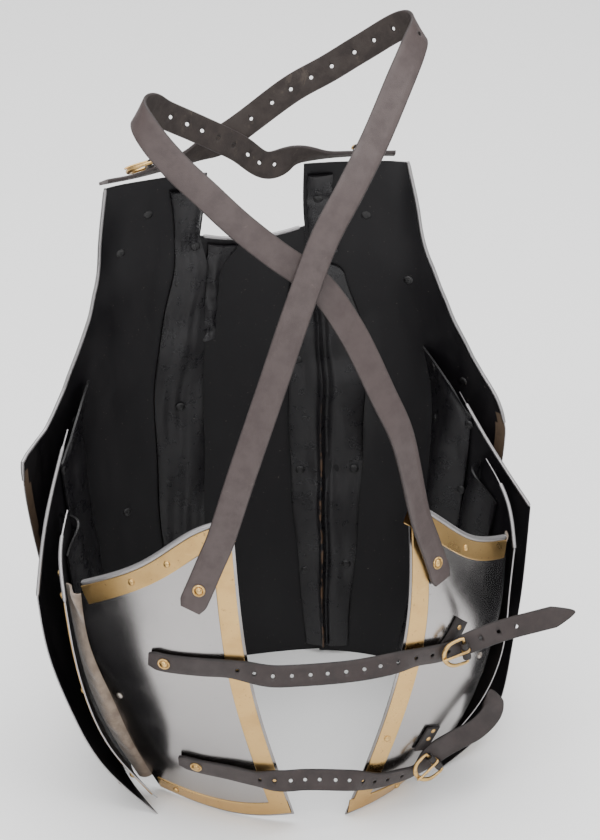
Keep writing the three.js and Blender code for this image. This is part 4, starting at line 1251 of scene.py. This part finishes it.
for side, word in SIDES.items():
    bridge(f"side_lining_{word}", f"joint_strip_side_{word}", flank[side], side_plate[side], [
        [0.64, 0.03, 0.05], [0.62, 0.15, 0.33], [0.6, 0.28, 0.6], [0.58, 0.4, 0.88], [0.55, 0.5, 1],
    ], 0.2, 11 + side, ((0.1, 0.95), (0.1, 0.7), (0.1, 0.45), (0.92, 0.9), (0.92, 0.6)))
    bridge(f"narrow_lining_{word}", f"joint_strip_narrow_{word}", side_plate[side], narrow[side], [
        [0.34, 0.06, 0.05], [0.34, 0.34, 0.35], [0.34, 0.62, 0.62], [0.34, 0.9, 0.93],
    ], 0.35, 15 + side)
    flesh_fold(f"suede_fold_{word}", f"joint_strip_back_{word}", side, narrow[side], back[side], [
        [0.04, 0.05, 7], [0.3, 0.3, 9], [0.6, 0.55, 9], [0.95, 0.95, 6],
    ], 21 + side)
heads("inside_rivets", inside_heads, FLAT_HEAD, LINING_FINISH, "joining_leather")
for head in (PUNCH, BRASS_HEAD, STRAP_HEAD, FLAT_HEAD, SMALL_HEAD):
    bpy.data.objects.remove(head)

# --- Floor, light and camera ---
floor_finish = Finish("floor", (0.96, 0.96, 0.96), 0.85).done()
floor_mesh = bpy.data.meshes.new("floor")
FLOOR_HALF = 9
FLOOR_DROP = -0.0004
corners = [(-FLOOR_HALF, -FLOOR_HALF), (FLOOR_HALF, -FLOOR_HALF), (FLOOR_HALF, FLOOR_HALF),
           (-FLOOR_HALF, FLOOR_HALF)]
floor_mesh.from_pydata([(x, y, FLOOR_DROP) for x, y in corners], [], [(0, 1, 2, 3)])
floor_mesh.materials.append(floor_finish)
floor = bpy.data.objects.new("floor", floor_mesh)
bpy.context.scene.collection.objects.link(floor)


def sky():
    """A pale studio that darkens downwards, for the polished steel to reflect."""
    world = bpy.data.worlds.new("studio")
    bpy.context.scene.world = world
    world.use_nodes = True
    tree = world.node_tree
    where = tree.nodes.new("ShaderNodeTexCoord")
    parts = tree.nodes.new("ShaderNodeSeparateXYZ")
    tree.links.new(where.outputs["Generated"], parts.inputs[0])
    ramp = tree.nodes.new("ShaderNodeValToRGB")
    tree.links.new(parts.outputs["Z"], ramp.inputs[0])
    stops = ((0.0, 0.35), (0.3, 0.5), (0.6, 1.0))
    elements = ramp.color_ramp.elements
    elements.new(0.5)
    for element, (spot, level) in zip(elements, stops):
        element.position = spot
        element.color = (level, level, level, 1)
    tree.links.new(ramp.outputs[0], tree.nodes["Background"].inputs["Color"])
    tree.nodes["Background"].inputs["Strength"].default_value = 1.2


sky()
TARGET = (np.array([26.7, 41.5, 330]) - ORIGIN) / 1000


def light(name, spot, size, power):
    """An area light aimed at the breastplate."""
    lamp = bpy.data.lights.new(name, "AREA")
    lamp.shape = "RECTANGLE"
    lamp.size, lamp.size_y = size
    lamp.energy = power
    holder = bpy.data.objects.new(name, lamp)
    bpy.context.scene.collection.objects.link(holder)
    holder.location = spot
    aim = Vector(TARGET) - Vector(spot)
    holder.rotation_euler = aim.to_track_quat("-Z", "Y").to_euler()


light("top_light", (0.1, 0.3, 3.0), (3.2, 2.6), 100)
light("back_light", (-0.6, -3.0, 1.9), (1.6, 1.4), 42)
light("left_light", (-2.3, -1.2, 1.5), (0.8, 1.8), 16)
light("right_light", (2.3, -1.5, 1.5), (0.7, 1.8), 14)


def painted_reflection_sheet(name, corners):
    """A black sheet, like a studio flag, that shows only in reflections: a painted dark reflection in the
    polished steel where the pale floor would be mirrored.
    """
    finish = Finish(name, (0.01, 0.01, 0.011), 0.9, specular=0).done()
    mesh = bpy.data.meshes.new(name)
    mesh.from_pydata(corners, [], [tuple(range(len(corners)))])
    mesh.materials.append(finish)
    reflection_only_sheet = bpy.data.objects.new(name, mesh)
    bpy.context.scene.collection.objects.link(reflection_only_sheet)
    reflection_only_sheet.visible_camera = False
    reflection_only_sheet.visible_diffuse = False
    reflection_only_sheet.visible_shadow = False


# Painted reflection: black sheets lying just above the floor round the breastplate, hidden from the camera,
# that darken what the polished steel mirrors.
PAINTED_REFLECTION_SHEETS = {
    "left": [(-0.13, -0.04), (-0.2, -0.12), (-0.3, -0.17), (-0.6, -0.32), (-1.7, -0.8), (-1.7, 0.6),
             (-0.13, 0.6)],
    "right": [(0.15, -0.03), (0.3, -0.06), (0.6, -0.16), (1.7, -0.5), (1.7, 0.6), (0.13, 0.6)],
}
PAINTED_REFLECTION_HEIGHT = 0.0015
for word, corners in PAINTED_REFLECTION_SHEETS.items():
    painted_reflection_sheet(f"flag_{word}", [(x, y, PAINTED_REFLECTION_HEIGHT) for x, y in corners])

DISTANCE = 2.35
SENSOR_HEIGHT = 36
FOCAL_LENGTH = 2502.75
FRAME_HEIGHT = 840
AZIMUTH, ELEVATION = math.radians(-12), math.radians(30)
camera = bpy.data.cameras.new("camera")
camera.sensor_fit = "VERTICAL"
camera.sensor_height = SENSOR_HEIGHT
camera.lens = SENSOR_HEIGHT * FOCAL_LENGTH / FRAME_HEIGHT
holder = bpy.data.objects.new("camera", camera)
bpy.context.scene.collection.objects.link(holder)
back_off = Vector((math.sin(AZIMUTH) * math.cos(ELEVATION), -math.cos(AZIMUTH) * math.cos(ELEVATION),
                   math.sin(ELEVATION)))
holder.location = Vector(TARGET) + back_off * DISTANCE
holder.rotation_euler = (-back_off).to_track_quat("-Z", "Y").to_euler()
bpy.context.scene.camera = holder
